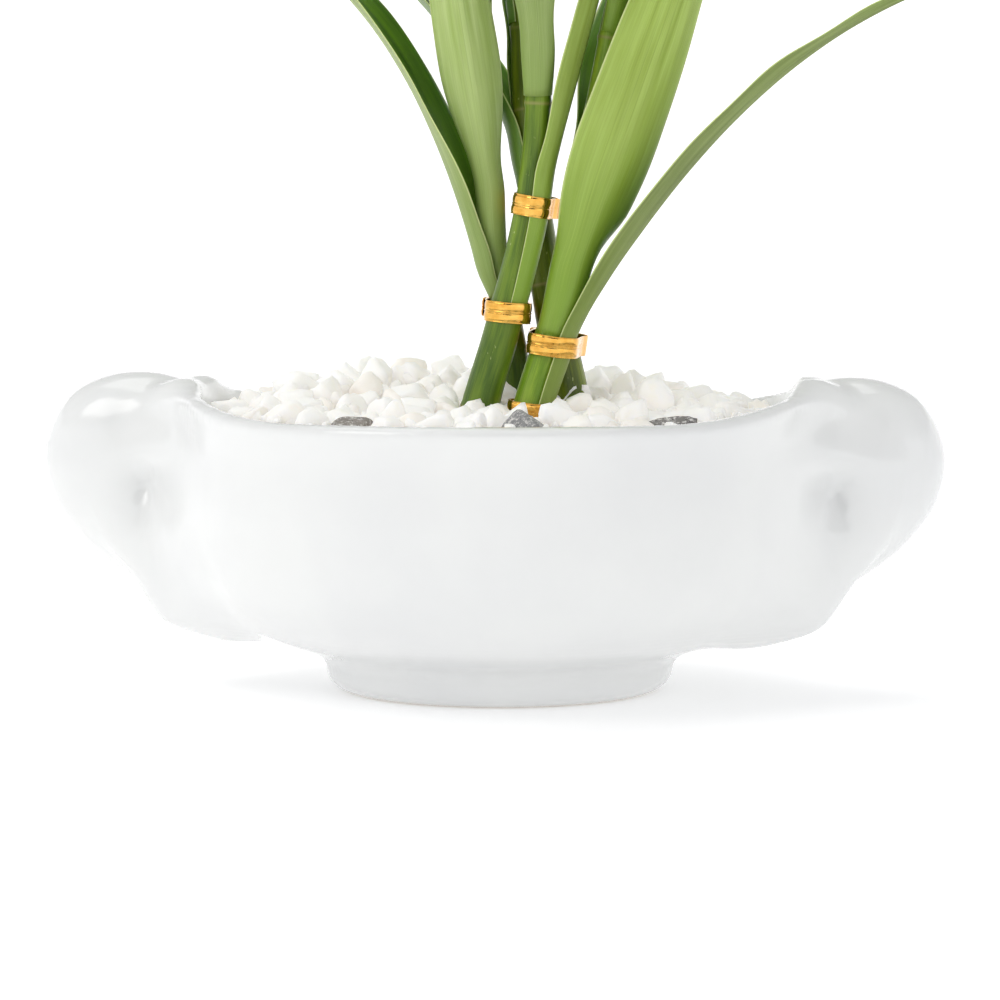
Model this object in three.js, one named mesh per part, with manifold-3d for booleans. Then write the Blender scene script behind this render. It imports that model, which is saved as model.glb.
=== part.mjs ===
// Lucky bamboo: four leafy Dracaena stalks, tied with gold bands, standing in white gravel
// in a glazed bowl with two chunky closed handles.
// Millimetres, +Z up. The origin is the middle of the bowl's flat foot, the handles lie along X.
import * as THREE from "three";
import { mergeVertices } from "three/addons/utils/BufferGeometryUtils.js";
import Module from "manifold-3d";

const wasm = await Module();
wasm.setup();

// ---------------------------------------------------------------- driving dimensions
const FOOT_RADIUS = 33; // flat face that the bowl stands on
const FOOT_TOP = { r: 39.2, z: 7.2 }; // waist between the foot and the bowl
const BELLY_RADIUS = 70.9;
const RIM_Z = 61.8; // top of the rim at the front and the back
const RIM_RISE = 5.6; // how much higher the rim climbs where it meets a handle
const WALL = 4.6;
const FLOOR_Z = 11.5; // inside floor of the bowl
const HANDLE_X = 75; // middle of a handle's dimple
const HANDLE_Z = 45.5;
const HANDLE_SHIFT = -1.7; // the pair sits a little to the left of the foot
const LEFT_HANDLE = 1.035; // how much larger the left handle came out than the right one
const HANDLE_HALF = 12.8; // half of a handle's thickness, along Y
const PLANTING_TURN = 5; // degrees the planting is turned in the bowl
const GRAVEL_Z = 59; // level of the gravel's bed at the wall
const GRAVEL_PILE = 7; // how much higher it is piled behind the canes
const CHIP = 6.6; // half of a usual gravel chip, larger than life
const CLEAR = 0.45; // clearance kept between neighbours
const BLADE = 0.8; // thickness of a leaf
const LAYER = 1.15; // an outer sheath lies this much further out than an inner one
const BAND = { thick: 0.5, tall: 4.5, rib: 0.3, gap: 0.65 }; // gap: from the canes that it ties

const rad = THREE.MathUtils.degToRad;
const { clamp, lerp, smoothstep } = THREE.MathUtils;

// ---------------------------------------------------------------- colours
const finish = (name, color, roughness, metalness = 0) =>
  new THREE.MeshStandardMaterial({ name, color, roughness, metalness });
const GLAZE = finish("white_glaze", 0xf1f2f1, 0.12);
const WHITE_STONE = finish("white_marble", 0xece8e2, 0.6);
const DARK_STONE = finish("dark_stone", 0x6d6a66, 0.75);
const CANE = finish("cane_green", 0x5f8f3a, 0.4);
const LEAF = finish("leaf_green", 0x84a850, 0.38);
const GOLD = finish("gold_band", 0xd9a441, 0.2, 1);

// ---------------------------------------------------------------- solids and booleans
// A geometry with its positions alone, and one vertex where several shared a place.
function welded(geometry) {
  const bare = new THREE.BufferGeometry().setAttribute("position", geometry.getAttribute("position"));
  if (geometry.index) bare.setIndex(geometry.index);
  return mergeVertices(bare, 1e-3);
}

// A closed geometry as a manifold solid.
function solid(geometry) {
  const merged = welded(geometry);
  const triVerts = new Uint32Array(merged.index.array);
  const vertProperties = new Float32Array(merged.attributes.position.array);
  return new wasm.Manifold(new wasm.Mesh({ numProp: 3, vertProperties, triVerts }));
}

function geometryOf(manifold) {
  const mesh = manifold.getMesh();
  const geometry = new THREE.BufferGeometry();
  geometry.setAttribute("position", new THREE.BufferAttribute(new Float32Array(mesh.vertProperties), 3));
  geometry.setIndex(new THREE.BufferAttribute(new Uint32Array(mesh.triVerts), 1));
  geometry.computeVertexNormals();
  return geometry;
}

// The largest body of a solid: scraps that a cut has freed are dropped.
function largest(manifold) {
  return manifold.decompose().reduce((a, b) => (a.volume() > b.volume() ? a : b));
}

function piece(name, geometry, material) {
  const mesh = new THREE.Mesh(geometry, material);
  mesh.name = name;
  return mesh;
}

// A closed skin over rings of points. Each ring is a loop; the ends are points or flat caps.
// halfTurned columns have their quads split along the other diagonal.
function skin(rings, { start, end, halfTurned = () => false }) {
  const count = rings[0].length;
  const points = rings.flat();
  const faces = [];
  for (let i = 0; i + 1 < rings.length; i++) {
    for (let j = 0; j < count; j++) {
      const a = i * count + j;
      const b = i * count + ((j + 1) % count);
      const [c, d] = [a + count, b + count];
      if (halfTurned(j)) faces.push(a, b, c, b, d, c);
      else faces.push(a, b, d, a, d, c);
    }
  }
  const last = (rings.length - 1) * count;
  const fan = (tip, base, outward) => {
    points.push(tip);
    for (let j = 0; j < count; j++) {
      const [a, b] = [base + j, base + ((j + 1) % count)];
      faces.push(points.length - 1, ...(outward ? [a, b] : [b, a]));
    }
  };
  // A thin cap joins the points of the upper half of a loop to those of the lower half.
  const strip = (base, outward) => {
    for (let j = 0; j < count / 2; j++) {
      const loop = [j, j + 1, count - j - 1, (count - j) % count].map((k) => base + k);
      const quad = outward ? loop : loop.reverse();
      faces.push(quad[0], quad[1], quad[2], quad[0], quad[2], quad[3]);
    }
  };
  if (start === "strip") strip(0, false);
  else fan(start, 0, false);
  if (end === "strip") strip(last, true);
  else fan(end, last, true);
  const positions = new Float32Array(points.flatMap((p) => [p.x, p.y, p.z]));
  const geometry = new THREE.BufferGeometry();
  geometry.setAttribute("position", new THREE.BufferAttribute(positions, 3));
  geometry.setIndex(dropFlat(faces, points));
  geometry.computeVertexNormals();
  return geometry;
}

// Faces whose corners coincide, as at a leaf's margin, are left out.
function dropFlat(faces, points) {
  const kept = [];
  for (let i = 0; i < faces.length; i += 3) {
    const [a, b, c] = [0, 1, 2].map((k) => points[faces[i + k]]);
    const same = (p, q) => p.distanceToSquared(q) < 1e-8;
    if (!same(a, b) && !same(b, c) && !same(c, a)) kept.push(faces[i], faces[i + 1], faces[i + 2]);
  }
  return kept;
}

// ---------------------------------------------------------------- the bowl
// A solid of revolution about Z from points in (radius, height), bottom to top on the axis.
function revolve(points, segments) {
  return new THREE.LatheGeometry(points, segments).rotateX(Math.PI / 2);
}

// How much the rim climbs at a point in plan: all of it at a handle, nothing at front and back.
function rimRise(x, y) {
  const fromHandle = Math.atan2(Math.abs(y), Math.abs(x));
  return RIM_RISE * Math.cos(Math.min(1.6 * fromHandle, Math.PI / 2)) ** 2;
}

// Lifts the upper part of a wall by the rim's rise.
function lifted(geometry) {
  const p = geometry.getAttribute("position");
  for (let i = 0; i < p.count; i++) {
    const share = smoothstep(p.getZ(i), 30, RIM_Z);
    p.setZ(i, p.getZ(i) + share * rimRise(p.getX(i), p.getY(i)));
  }
  return geometry;
}

function bowlOutside() {
  const lip = WALL / 2;
  const lipZ = RIM_Z - lip;
  const edge = BELLY_RADIUS - 0.1;
  const path = new THREE.Path();
  path.moveTo(0, 0);
  path.lineTo(FOOT_RADIUS, 0);
  path.quadraticCurveTo(FOOT_TOP.r - 0.3, 0.4, FOOT_TOP.r, FOOT_TOP.z);
  path.bezierCurveTo(52, 12.2, BELLY_RADIUS - 0.3, 14, BELLY_RADIUS, 39);
  path.bezierCurveTo(BELLY_RADIUS, 48, BELLY_RADIUS - 1.7, 53, edge, lipZ);
  const rounded = new THREE.EllipseCurve(edge - lip, lipZ, lip, lip, 0, Math.PI).getPoints(6);
  const points = [...path.getPoints(5), ...rounded.slice(1), new THREE.Vector2(0, lipZ)];
  return lifted(revolve(points, 44));
}

// The room inside the bowl, in (radius, height), from the middle of its floor up to a level.
function roomPath(inset, top) {
  const r = BELLY_RADIUS - 0.1 - WALL - inset;
  const path = new THREE.Path();
  path.moveTo(0, FLOOR_Z + inset);
  path.lineTo(38, FLOOR_Z + 1 + inset);
  path.bezierCurveTo(53, 15 + inset, r, 18 + inset, r, 40);
  path.lineTo(r, top);
  return path.getPoints(4);
}

// The room runs on above the rim, so that it also trims the handles.
function bowlRoom() {
  const top = RIM_Z + 40;
  return revolve([...roomPath(0, top), new THREE.Vector2(0, top)], 44);
}

// How far a handle's outline lies from its dimple, by the angle from +X up towards +Z.
// The first column is in degrees; 180 points into the bowl.
const HANDLE_OUTLINE = [
  [-118, 36], [-104, 33.1], [-97, 31.3], [-92, 28.8], [-86, 25.2], [-76, 22], [-62, 20.7], [-44, 20.6],
  [-28, 21.4], [-10, 23.4], [12, 26], [30, 27.3], [45, 28], [58, 27.3], [72, 26.2], [90, 24.8],
  [109, 23.3], [135, 21], [180, 19], [215, 24],
];

function handle(side) {
  const knots = HANDLE_OUTLINE.map(([angle, reach]) => {
    return new THREE.Vector3(Math.cos(rad(angle)) * reach, Math.sin(rad(angle)) * reach, 0);
  });
  const outline = new THREE.CatmullRomCurve3(knots, true, "centripetal").getPoints(26).slice(0, -1);
  const size = side < 0 ? LEFT_HANDLE : 1;
  const shares = [0.18, 0.38, 0.6, 0.8, 0.95];
  const thickness = (share) => {
    // round outside the crest, and falling into the dimple inside it
    if (share > 0.5) return HANDLE_HALF * Math.sqrt(1 - ((share - 0.5) / 0.5) ** 2);
    return HANDLE_HALF * lerp(0.42, 1, Math.sin((share / 0.5) * (Math.PI / 2)));
  };
  const ring = (share, face) =>
    outline.map((p) => new THREE.Vector3(p.x * share, face * thickness(share), p.y * share));
  const rings = [
    ...shares.map((share) => ring(share, 1)),
    ring(1, 0),
    ...[...shares].reverse().map((share) => ring(share, -1)),
  ];
  const pole = (face) => new THREE.Vector3(0, face * thickness(0), 0);
  const geometry = skin(rings, { start: pole(1), end: pole(-1) });
  geometry.scale(size, 1, size);
  if (side < 0) geometry.rotateZ(Math.PI);
  return geometry.translate(side * HANDLE_X + HANDLE_SHIFT, 0, HANDLE_Z);
}

function bowl() {
  const body = solid(bowlOutside()).add(solid(handle(1))).add(solid(handle(-1)));
  return geometryOf(largest(body.subtract(solid(bowlRoom()))));
}

// ---------------------------------------------------------------- canes
// Each cane passes through these points, [right, away, up], with its radius there.
// It stands near the bowl's floor and leans across its neighbours.
const CANES = {
  a: {
    path: [
      [-13, -3.5, 24], [-4.2, -6, 64], [0.6, -6.2, 80.6], [6.3, -5.6, 107], [8.4, -6, 132], [7.6, -14, 183],
    ],
    radii: [4.1, 4.1, 4, 3.1, 2.8, 1.9],
  },
  b: {
    path: [[9, 10, 24], [4.2, 6.6, 65], [2.2, 5.6, 81], [-1.1, 5.2, 97], [-3.4, 5, 122], [-12.5, 4, 174]],
    radii: [3.6, 3.4, 2.8, 2.1, 1.9, 1.7],
  },
  c: {
    path: [[-3, -13.5, 24], [7, -8.4, 64], [11.6, -7, 79], [15.6, -5, 95], [20, -3, 122], [27, -2, 162]],
    radii: [4, 4, 3.9, 3.2, 2.7, 1.9],
  },
  d: {
    path: [[23, 5, 24], [15, 5, 68], [11.8, 4.8, 83], [8.6, 6.6, 103], [5.6, 12, 129], [4, 21, 174]],
    radii: [4.4, 4.3, 4, 3.4, 2.8, 1.9],
  },
};
const CANE_SIDES = 12;
const CANE_SPAN = 15; // the longest stretch of a cane between two of its rings
const CUT_TOP = 4; // the tip that closes a cane above its last ring
const JOINT = { below: 1.2, fade: 1.8, swelling: 0.22 }; // a joint's ring lies just below its leaf

function caneCurve(key) {
  const knots = CANES[key].path.map((p) => new THREE.Vector3(...p));
  return new THREE.CatmullRomCurve3(knots, false, "centripetal");
}

// The place, direction and radius of a cane at a height.
function caneAt(key, height) {
  const curve = caneCurve(key);
  let [low, high] = [0, 1];
  for (let i = 0; i < 24; i++) {
    const middle = (low + high) / 2;
    if (curve.getPoint(middle).z < height) low = middle;
    else high = middle;
  }
  const radii = CANES[key].radii;
  const place = low * (radii.length - 1);
  const knot = clamp(Math.floor(place), 0, radii.length - 2);
  return {
    point: curve.getPoint(low),
    along: curve.getTangent(low),
    radius: lerp(radii[knot], radii[knot + 1], place - knot),
  };
}

// Two directions square to a cane, the first as near as can be to an azimuth in plan.
function acrossCane(along, azimuth) {
  const level = new THREE.Vector3(Math.cos(rad(azimuth)), Math.sin(rad(azimuth)), 0);
  const outward = level.addScaledVector(along, -level.dot(along)).normalize();
  return { outward, sideways: new THREE.Vector3().crossVectors(along, outward) };
}

// Rings round a cane at some heights, wider than the cane by what added gives for each height.
function caneRings(key, heights, added) {
  return heights.map((height) => {
    const { point, along, radius } = caneAt(key, height);
    const { outward, sideways } = acrossCane(along, 0);
    const reach = radius + added(height);
    return Array.from({ length: CANE_SIDES }, (_, j) => {
      const turn = (j / CANE_SIDES) * 2 * Math.PI;
      return point.clone()
        .addScaledVector(outward, reach * Math.cos(turn))
        .addScaledVector(sideways, reach * Math.sin(turn));
    });
  });
}

// The point on a cane's own line that lies a little past one of its heights.
function pastCane(key, height, by) {
  const { point, along } = caneAt(key, height);
  return point.addScaledVector(along, by);
}

// A cane with a low swelling at each of its joints, the node rings that give the plant its name.
// Its rings lie close together there and at most CANE_SPAN apart elsewhere.
function cane(key) {
  const { path } = CANES[key];
  const [bottom, top] = [path[0][2], path.at(-1)[2]];
  const joints = LEAVES[key].map(({ at }) => at - JOINT.below);
  const marked = [
    bottom, ...joints.flatMap((z) => [z - JOINT.fade, z, z + JOINT.below - CLEAR / 2]), top - CUT_TOP,
  ];
  const heights = marked.flatMap((z, i) => {
    const steps = i === 0 ? 1 : Math.ceil((z - marked[i - 1]) / CANE_SPAN);
    return Array.from({ length: steps }, (_, k) => lerp(z, marked[i - 1] ?? z, (steps - 1 - k) / steps));
  });
  const rings = caneRings(key, heights, (height) => (joints.includes(height) ? JOINT.swelling : 0));
  return skin(rings, { start: pastCane(key, bottom, -0.3), end: pastCane(key, top, 0.4) });
}

// The hole that a cane needs in the gravel: wider all round, deeper, and open above.
function caneHole(key) {
  const bottom = CANES[key].path[0][2];
  const top = GRAVEL_Z + 3 * GRAVEL_PILE;
  const rings = caneRings(key, [bottom, 50, 70, top], () => CLEAR);
  return skin(rings, { start: pastCane(key, bottom, -1.5), end: pastCane(key, top, 0.4) });
}

// ---------------------------------------------------------------- leaves
// Each leaf: the height of its joint on the cane, the azimuth it points to (0 right, 90 away,
// 180 left, 270 to the front), how far its sheath wraps the cane to each side, the lengths of sheath
// and blade, the greatest half width, how far it leans from the cane where the blade begins, how much
// more it bends to the tip (less than 0 where it bends back up), 1 where its sheath lies over another
// one, and the share of the blade over which it opens where that isn't OPENS.
// All lengths in mm, all angles in degrees.
const LEAVES = {
  a: [
    { at: 93, azimuth: 335, wrap: 58, sheath: 24, blade: 100, half: 5.5, lean: 2, droop: 5, layer: 0 },
    { at: 131, azimuth: 235, wrap: 95, sheath: 12, blade: 108, half: 9.5, lean: 22, droop: 60, layer: 0 },
    { at: 152, azimuth: 310, wrap: 95, sheath: 12, blade: 98, half: 9, lean: 24, droop: 52, layer: 0 },
    { at: 171, azimuth: 230, wrap: 95, sheath: 12, blade: 82, half: 6.5, lean: 4, droop: 24, layer: 0 },
  ],
  b: [
    { at: 88.6, azimuth: 165, wrap: 95, sheath: 8, blade: 126, half: 9.5, lean: 4, droop: 78, layer: 1 },
    { at: 96, azimuth: 272, wrap: 95, sheath: 16, blade: 108, half: 7.6, lean: 1, droop: 20, layer: 0 },
    { at: 124, azimuth: 102, wrap: 95, sheath: 10, blade: 112, half: 9, lean: 16, droop: 44, layer: 0 },
    { at: 148, azimuth: 232, wrap: 95, sheath: 12, blade: 98, half: 8.1, lean: 11, droop: 40, layer: 0 },
    { at: 166, azimuth: 96, wrap: 95, sheath: 12, blade: 84, half: 6.5, lean: 8, droop: 24, layer: 0 },
  ],
  c: [
    { at: 69, azimuth: 350, wrap: 60, sheath: 11, blade: 128, half: 7, lean: 16, droop: 44, layer: 0 },
    {
      at: 87, azimuth: 297, wrap: 95, sheath: 6, blade: 124, half: 10.9, lean: 14, droop: -14, layer: 0,
      opens: 0.13,
    },
    { at: 106, azimuth: 65, wrap: 95, sheath: 13, blade: 112, half: 9.5, lean: 18, droop: 58, layer: 0 },
    { at: 126, azimuth: 27, wrap: 95, sheath: 12, blade: 108, half: 9.5, lean: 22, droop: 52, layer: 0 },
    { at: 145, azimuth: 335, wrap: 95, sheath: 12, blade: 84, half: 6.5, lean: 8, droop: 20, layer: 0 },
  ],
  d: [
    { at: 112, azimuth: 152, wrap: 95, sheath: 12, blade: 114, half: 9, lean: 26, droop: 50, layer: 0 },
    { at: 130, azimuth: 57, wrap: 95, sheath: 12, blade: 112, half: 9.5, lean: 20, droop: 58, layer: 0 },
    { at: 148, azimuth: 132, wrap: 95, sheath: 12, blade: 98, half: 9, lean: 18, droop: 48, layer: 0 },
    { at: 167, azimuth: 93, wrap: 95, sheath: 12, blade: 84, half: 6.5, lean: 8, droop: 24, layer: 0 },
  ],
};
const SHEATH_ROWS = [0, 0.5]; // shares of the sheath's length
const BLADE_ROWS = [0, 0.05, 0.12, 0.22, 0.34, 0.47, 0.6, 0.73, 0.86, 1]; // and of the blade's
const LEAF_COLUMNS = 4; // across the blade
const FOLD = 26; // degrees that each half of a blade rises from the midrib
const OPENS = 0.3; // the share of a blade over which it opens

// The share of its greatest width that a blade has at a share of its length.
function bladeShape(share) {
  const swell = 0.52 + 0.48 * Math.sin(Math.min(share / 0.25, 1) * (Math.PI / 2));
  return swell * (1 - share ** 3) ** 1.25;
}

// The radius at which a sheath's middle surface lies round its cane.
function sheathRadius(key, { at, layer }) {
  return caneAt(key, at).radius + CLEAR + JOINT.swelling + BLADE / 2 + layer * LAYER;
}

function leaf(key, spec) {
  const { at, azimuth, sheath, blade, half, lean, droop } = spec;
  const wrap = rad(spec.wrap);
  const base = caneAt(key, at);
  const hug = sheathRadius(key, spec);
  const { outward } = acrossCane(base.along, azimuth);
  const runs = [...SHEATH_ROWS.map((share) => share * sheath), ...BLADE_ROWS.map((t) => sheath + t * blade)];
  const rings = [];
  const centre = new THREE.Vector3();
  let last = 0;
  for (const run of runs) {
    const share = clamp((run - sheath) / blade, 0, 1);
    const bend = rad(lean * smoothstep(share, -0.1, 0.2) + droop * share * share);
    const [ahead, aside] = [Math.cos(bend), Math.sin(bend)];
    const along = base.along.clone().multiplyScalar(ahead).addScaledVector(outward, aside);
    const inward = outward.clone().multiplyScalar(-ahead).addScaledVector(base.along, aside);
    if (last < sheath) {
      const on = caneAt(key, at + Math.min(run, sheath) * base.along.z);
      centre.copy(on.point).addScaledVector(acrossCane(on.along, azimuth).outward, hug);
    }
    if (run > sheath) centre.addScaledVector(along, run - Math.max(last, sheath));
    last = run;
    const across = new THREE.Vector3().crossVectors(along, inward);
    const opened = smoothstep(run, sheath * 0.8, sheath + blade * (spec.opens ?? OPENS));
    const blending = smoothstep(run, sheath * 0.85, sheath + blade * 0.12);
    const width = lerp(wrap * hug, half * bladeShape(share), blending);
    if (share < 1) rings.push(crossSection({ centre, across, inward, width, opened, wrap }));
  }
  return skin(rings, { start: "strip", end: centre, halfTurned: (j) => j >= LEAF_COLUMNS });
}

// A loop round a leaf's cross-section: along its inner face and back along its outer one.
// The line bends evenly where it wraps the cane, and mostly at the midrib where it has opened.
function crossSection({ centre, across, inward, width, opened, wrap }) {
  const steps = 24;
  const line = [{ s: 0, n: 0, turn: 0 }];
  for (let i = 1; i <= steps; i++) {
    const turn = lerp((wrap * (i - 0.5)) / steps, rad(FOLD) * Math.tanh((3 * i) / steps), opened);
    const before = line[i - 1];
    const run = width / steps;
    line.push({ s: before.s + Math.cos(turn) * run, n: before.n + Math.sin(turn) * run, turn });
  }
  const place = (share, off) => {
    const at = line[Math.round(Math.abs(share) * steps)];
    const s = Math.sign(share) * (at.s - off * Math.sin(at.turn));
    return centre.clone()
      .addScaledVector(across, s)
      .addScaledVector(inward, at.n + off * Math.cos(at.turn));
  };
  const shares = Array.from({ length: LEAF_COLUMNS + 1 }, (_, j) => (2 * j) / LEAF_COLUMNS - 1);
  const inner = shares.map((share) => place(share, Math.abs(share) === 1 ? 0 : BLADE / 2));
  const outer = shares.slice(1, -1).reverse().map((share) => place(share, -BLADE / 2));
  return [...inner, ...outer];
}

// ---------------------------------------------------------------- gold bands
// Each band ties two canes: the height of its middle, the canes, and the tilt of its plane.
const BANDS = [
  { name: "upper", canes: ["a", "d"], at: 107.5, tilt: [6, -3] },
  { name: "middle", canes: ["a", "b"], at: 84.2, tilt: [3, -2] },
  { name: "lower", canes: ["c", "d"], at: 77, tilt: [6, -3] },
  { name: "foot", canes: ["c", "d"], at: 62, tilt: [6, -3] },
];
const BAND_SIDES = 24;

// The outline in plan that a tight string would take round some points, as a convex hull.
function tightOutline(points) {
  const sorted = [...points].sort((p, q) => p.x - q.x || p.y - q.y);
  const half = (list) => {
    const chain = [];
    for (const p of list) {
      while (chain.length > 1 && !turnsLeft(chain.at(-2), chain.at(-1), p)) chain.pop();
      chain.push(p);
    }
    return chain.slice(0, -1);
  };
  return [...half(sorted), ...half(sorted.reverse())];
}

const turnsLeft = (o, p, q) => (p.x - o.x) * (q.y - o.y) - (p.y - o.y) * (q.x - o.x) > 1e-6;

// Evenly spaced places round the canes that a band ties, outside any sheath it goes over.
function roundCanes({ canes, at, tilt }, gap) {
  const up = new THREE.Vector3(Math.sin(rad(tilt[0])), Math.sin(rad(tilt[1])), 1).normalize();
  const { outward: right, sideways: away } = acrossCane(up, 0);
  const middle = new THREE.Vector3();
  for (const key of canes) middle.addScaledVector(caneAt(key, at).point, 1 / canes.length);
  const touched = [];
  const arc = (key, radius, from, to) => {
    for (const level of [-0.6 * BAND.tall, 0, 0.6 * BAND.tall]) {
      const offset = caneAt(key, at + level).point.clone().sub(middle);
      const [x, y] = [offset.dot(right), offset.dot(away)];
      for (let i = 0; i <= 32; i++) {
        const turn = lerp(from, to, i / 32);
        touched.push(new THREE.Vector2(x + radius * Math.cos(turn), y + radius * Math.sin(turn)));
      }
    }
  };
  for (const key of canes) {
    arc(key, caneAt(key, at).radius + gap, 0, 2 * Math.PI);
    for (const spec of LEAVES[key]) {
      const reach = BAND.tall / 2 + 1;
      if (spec.at > at + reach || spec.at + spec.sheath < at - reach) continue;
      const [turn, wrap] = [rad(spec.azimuth), rad(spec.wrap)];
      arc(key, sheathRadius(key, spec) + BLADE / 2 + gap, turn - wrap, turn + wrap);
    }
  }
  const outline = tightOutline(touched);
  const corners = [...outline, outline[0]];
  const loop = new THREE.CurvePath();
  corners.slice(1).forEach((p, i) => loop.add(new THREE.LineCurve(corners[i], p)));
  return Array.from({ length: BAND_SIDES }, (_, k) => {
    const share = k / BAND_SIDES;
    const place = loop.getPointAt(share);
    const ahead = loop.getPointAt((share + 0.02) % 1).sub(loop.getPointAt((share + 0.98) % 1)).normalize();
    const outward = right.clone().multiplyScalar(ahead.y).addScaledVector(away, -ahead.x);
    const foot = middle.clone().addScaledVector(right, place.x).addScaledVector(away, place.y);
    return { foot, outward, up };
  });
}

function band(spec) {
  const { thick, tall, rib } = BAND;
  const profile = [
    [0, -0.5], [0, 0.5], [thick, 0.5], [thick + rib, 0.3], [thick, 0.04],
    [thick, -0.04], [thick + rib, -0.3], [thick, -0.5],
  ];
  const rings = roundCanes(spec, BAND.gap).map(({ foot, outward, up }) =>
    profile.map(([out, high]) =>
      foot.clone().addScaledVector(outward, out).addScaledVector(up, high * tall)));
  return loopSkin(rings);
}

// The well that a band at the gravel's surface needs in it, open above.
function bandWell(spec) {
  const reach = BAND.thick + BAND.rib + 3 * CLEAR;
  const outline = roundCanes(spec, reach);
  const ring = (lift) => outline.map(({ foot, up }) => foot.clone().addScaledVector(up, lift));
  const ends = [-BAND.tall / 2 - CLEAR, 14];
  const middles = ends.map((lift) => {
    const sum = ring(lift).reduce((total, p) => total.add(p), new THREE.Vector3());
    return sum.divideScalar(outline.length);
  });
  return skin(ends.map(ring), { start: middles[0], end: middles[1] });
}

// A closed skin over a loop of rings, with no ends.
function loopSkin(rings) {
  const count = rings[0].length;
  const points = rings.flat();
  const faces = [];
  for (let i = 0; i < rings.length; i++) {
    for (let j = 0; j < count; j++) {
      const next = (i + 1) % rings.length;
      const [a, b] = [i * count + j, i * count + ((j + 1) % count)];
      const [c, d] = [next * count + j, next * count + ((j + 1) % count)];
      faces.push(a, b, d, a, d, c);
    }
  }
  const positions = new Float32Array(points.flatMap((p) => [p.x, p.y, p.z]));
  const geometry = new THREE.BufferGeometry();
  geometry.setAttribute("position", new THREE.BufferAttribute(positions, 3));
  geometry.setIndex(faces);
  geometry.computeVertexNormals();
  return geometry;
}

// ---------------------------------------------------------------- gravel
// A seeded draw, the same at each run.
function draws(seed) {
  let state = seed;
  return () => {
    state = (state + 0x6d2b79f5) | 0;
    let t = Math.imul(state ^ (state >>> 15), 1 | state);
    t = (t + Math.imul(t ^ (t >>> 7), 61 | t)) ^ t;
    return ((t ^ (t >>> 14)) >>> 0) / 4294967296;
  };
}

// The level of the gravel's bed: piled up behind the canes, and a little more on the left.
function gravelTop(x, y) {
  const fromMiddle = Math.hypot(x, y) / (BELLY_RADIUS - WALL);
  const pile = GRAVEL_PILE * (1 - smoothstep(fromMiddle, 0.45, 1)) * smoothstep(y, -22, 26);
  const left = 2.4 * Math.exp(-(((x + 28) / 20) ** 2) - ((y - 10) / 28) ** 2);
  return GRAVEL_Z + pile + left;
}

// A broken stone: a block or a ball of few faces, with its corners knocked in and out.
function stone(draw, size, block = true) {
  const side = size * 1.45;
  const geometry = block ? new THREE.BoxGeometry(side, side, side) : new THREE.IcosahedronGeometry(size, 0);
  const merged = welded(geometry);
  const p = merged.getAttribute("position");
  for (let i = 0; i < p.count; i++) {
    const knock = lerp(0.84, 1.14, draw());
    p.setXYZ(i, p.getX(i) * knock, p.getY(i) * knock, p.getZ(i) * knock);
  }
  merged.scale(lerp(0.95, 1.35, draw()), lerp(0.85, 1.1, draw()), lerp(0.62, 0.88, draw()));
  merged.rotateX(lerp(-0.5, 0.5, draw()));
  merged.rotateZ(draw() * 2 * Math.PI);
  return merged;
}

// The dark stones among the white ones: [right, away, size].
const DARK_STONES = [
  [6.5, -52, 6.6], [-31, -52, 5], [35, -44, 5.6], [53, -27, 4.4], [-22, 44, 5], [30, 42, 5.2],
];

function darkStone([x, y, size], index, grow = 0) {
  const geometry = stone(draws(700 + index), size, false);
  geometry.scale(1 + grow / size, 1 + grow / size, 1 + grow / size);
  return geometry.translate(x, y, gravelTop(x, y) + size * 0.12);
}

// Chips stand on a grid of triangles, each drawn a little off its place, over the whole top.
function chips() {
  const draw = draws(21);
  const pitch = CHIP * 1.85;
  const wall = BELLY_RADIUS - 0.1 - WALL - 2 * CLEAR;
  const reach = wall - CHIP * 0.5;
  const rows = Math.ceil(reach / (pitch * 0.87));
  const made = [];
  for (let row = -rows; row <= rows; row++) {
    for (let column = -7; column <= 7; column++) {
      const x = (column + (row % 2) / 2) * pitch + lerp(-1.4, 1.4, draw());
      const y = row * pitch * 0.87 + lerp(-1.4, 1.4, draw());
      const size = CHIP * lerp(0.86, 1.15, draw());
      const lift = lerp(-0.8, 1, draw());
      if (Math.hypot(x, y) > reach) continue;
      if (DARK_STONES.some(([dx, dy, ds]) => Math.hypot(x - dx, y - dy) < ds * 0.9)) continue;
      made.push(keptInside(stone(draw, size).translate(x, y, gravelTop(x, y) + lift), wall));
    }
  }
  return made;
}

// A stone whose corners are drawn in to a radius, as one that leans on the wall.
function keptInside(geometry, radius) {
  const p = geometry.getAttribute("position");
  for (let i = 0; i < p.count; i++) {
    const share = Math.min(radius / Math.hypot(p.getX(i), p.getY(i)), 1);
    p.setXY(i, p.getX(i) * share, p.getY(i) * share);
  }
  return geometry;
}

// The bed under the chips fills the bowl's room, a hair's breadth off its floor and wall.
function gravelBed() {
  const side = roomPath(CLEAR, GRAVEL_Z);
  const rim = side.at(-1).x;
  const across = [0.82, 0.62, 0.42, 0.2, 0].map((share) => new THREE.Vector2(rim * share, GRAVEL_Z));
  const bed = revolve([...side, ...across], 32);
  const p = bed.getAttribute("position");
  for (let i = 0; i < p.count; i++) {
    if (p.getZ(i) > GRAVEL_Z - 0.01) p.setZ(i, gravelTop(p.getX(i), p.getY(i)) - 0.5);
  }
  return bed;
}

function gravel() {
  const bulk = wasm.Manifold.union([gravelBed(), ...chips()].map(solid));
  const wells = [
    ...Object.keys(CANES).map(caneHole),
    ...DARK_STONES.map((row, i) => darkStone(row, i, CLEAR)),
    bandWell(BANDS.at(-1)),
  ];
  return geometryOf(largest(bulk.subtract(wasm.Manifold.union(wells.map(solid)))));
}

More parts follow.
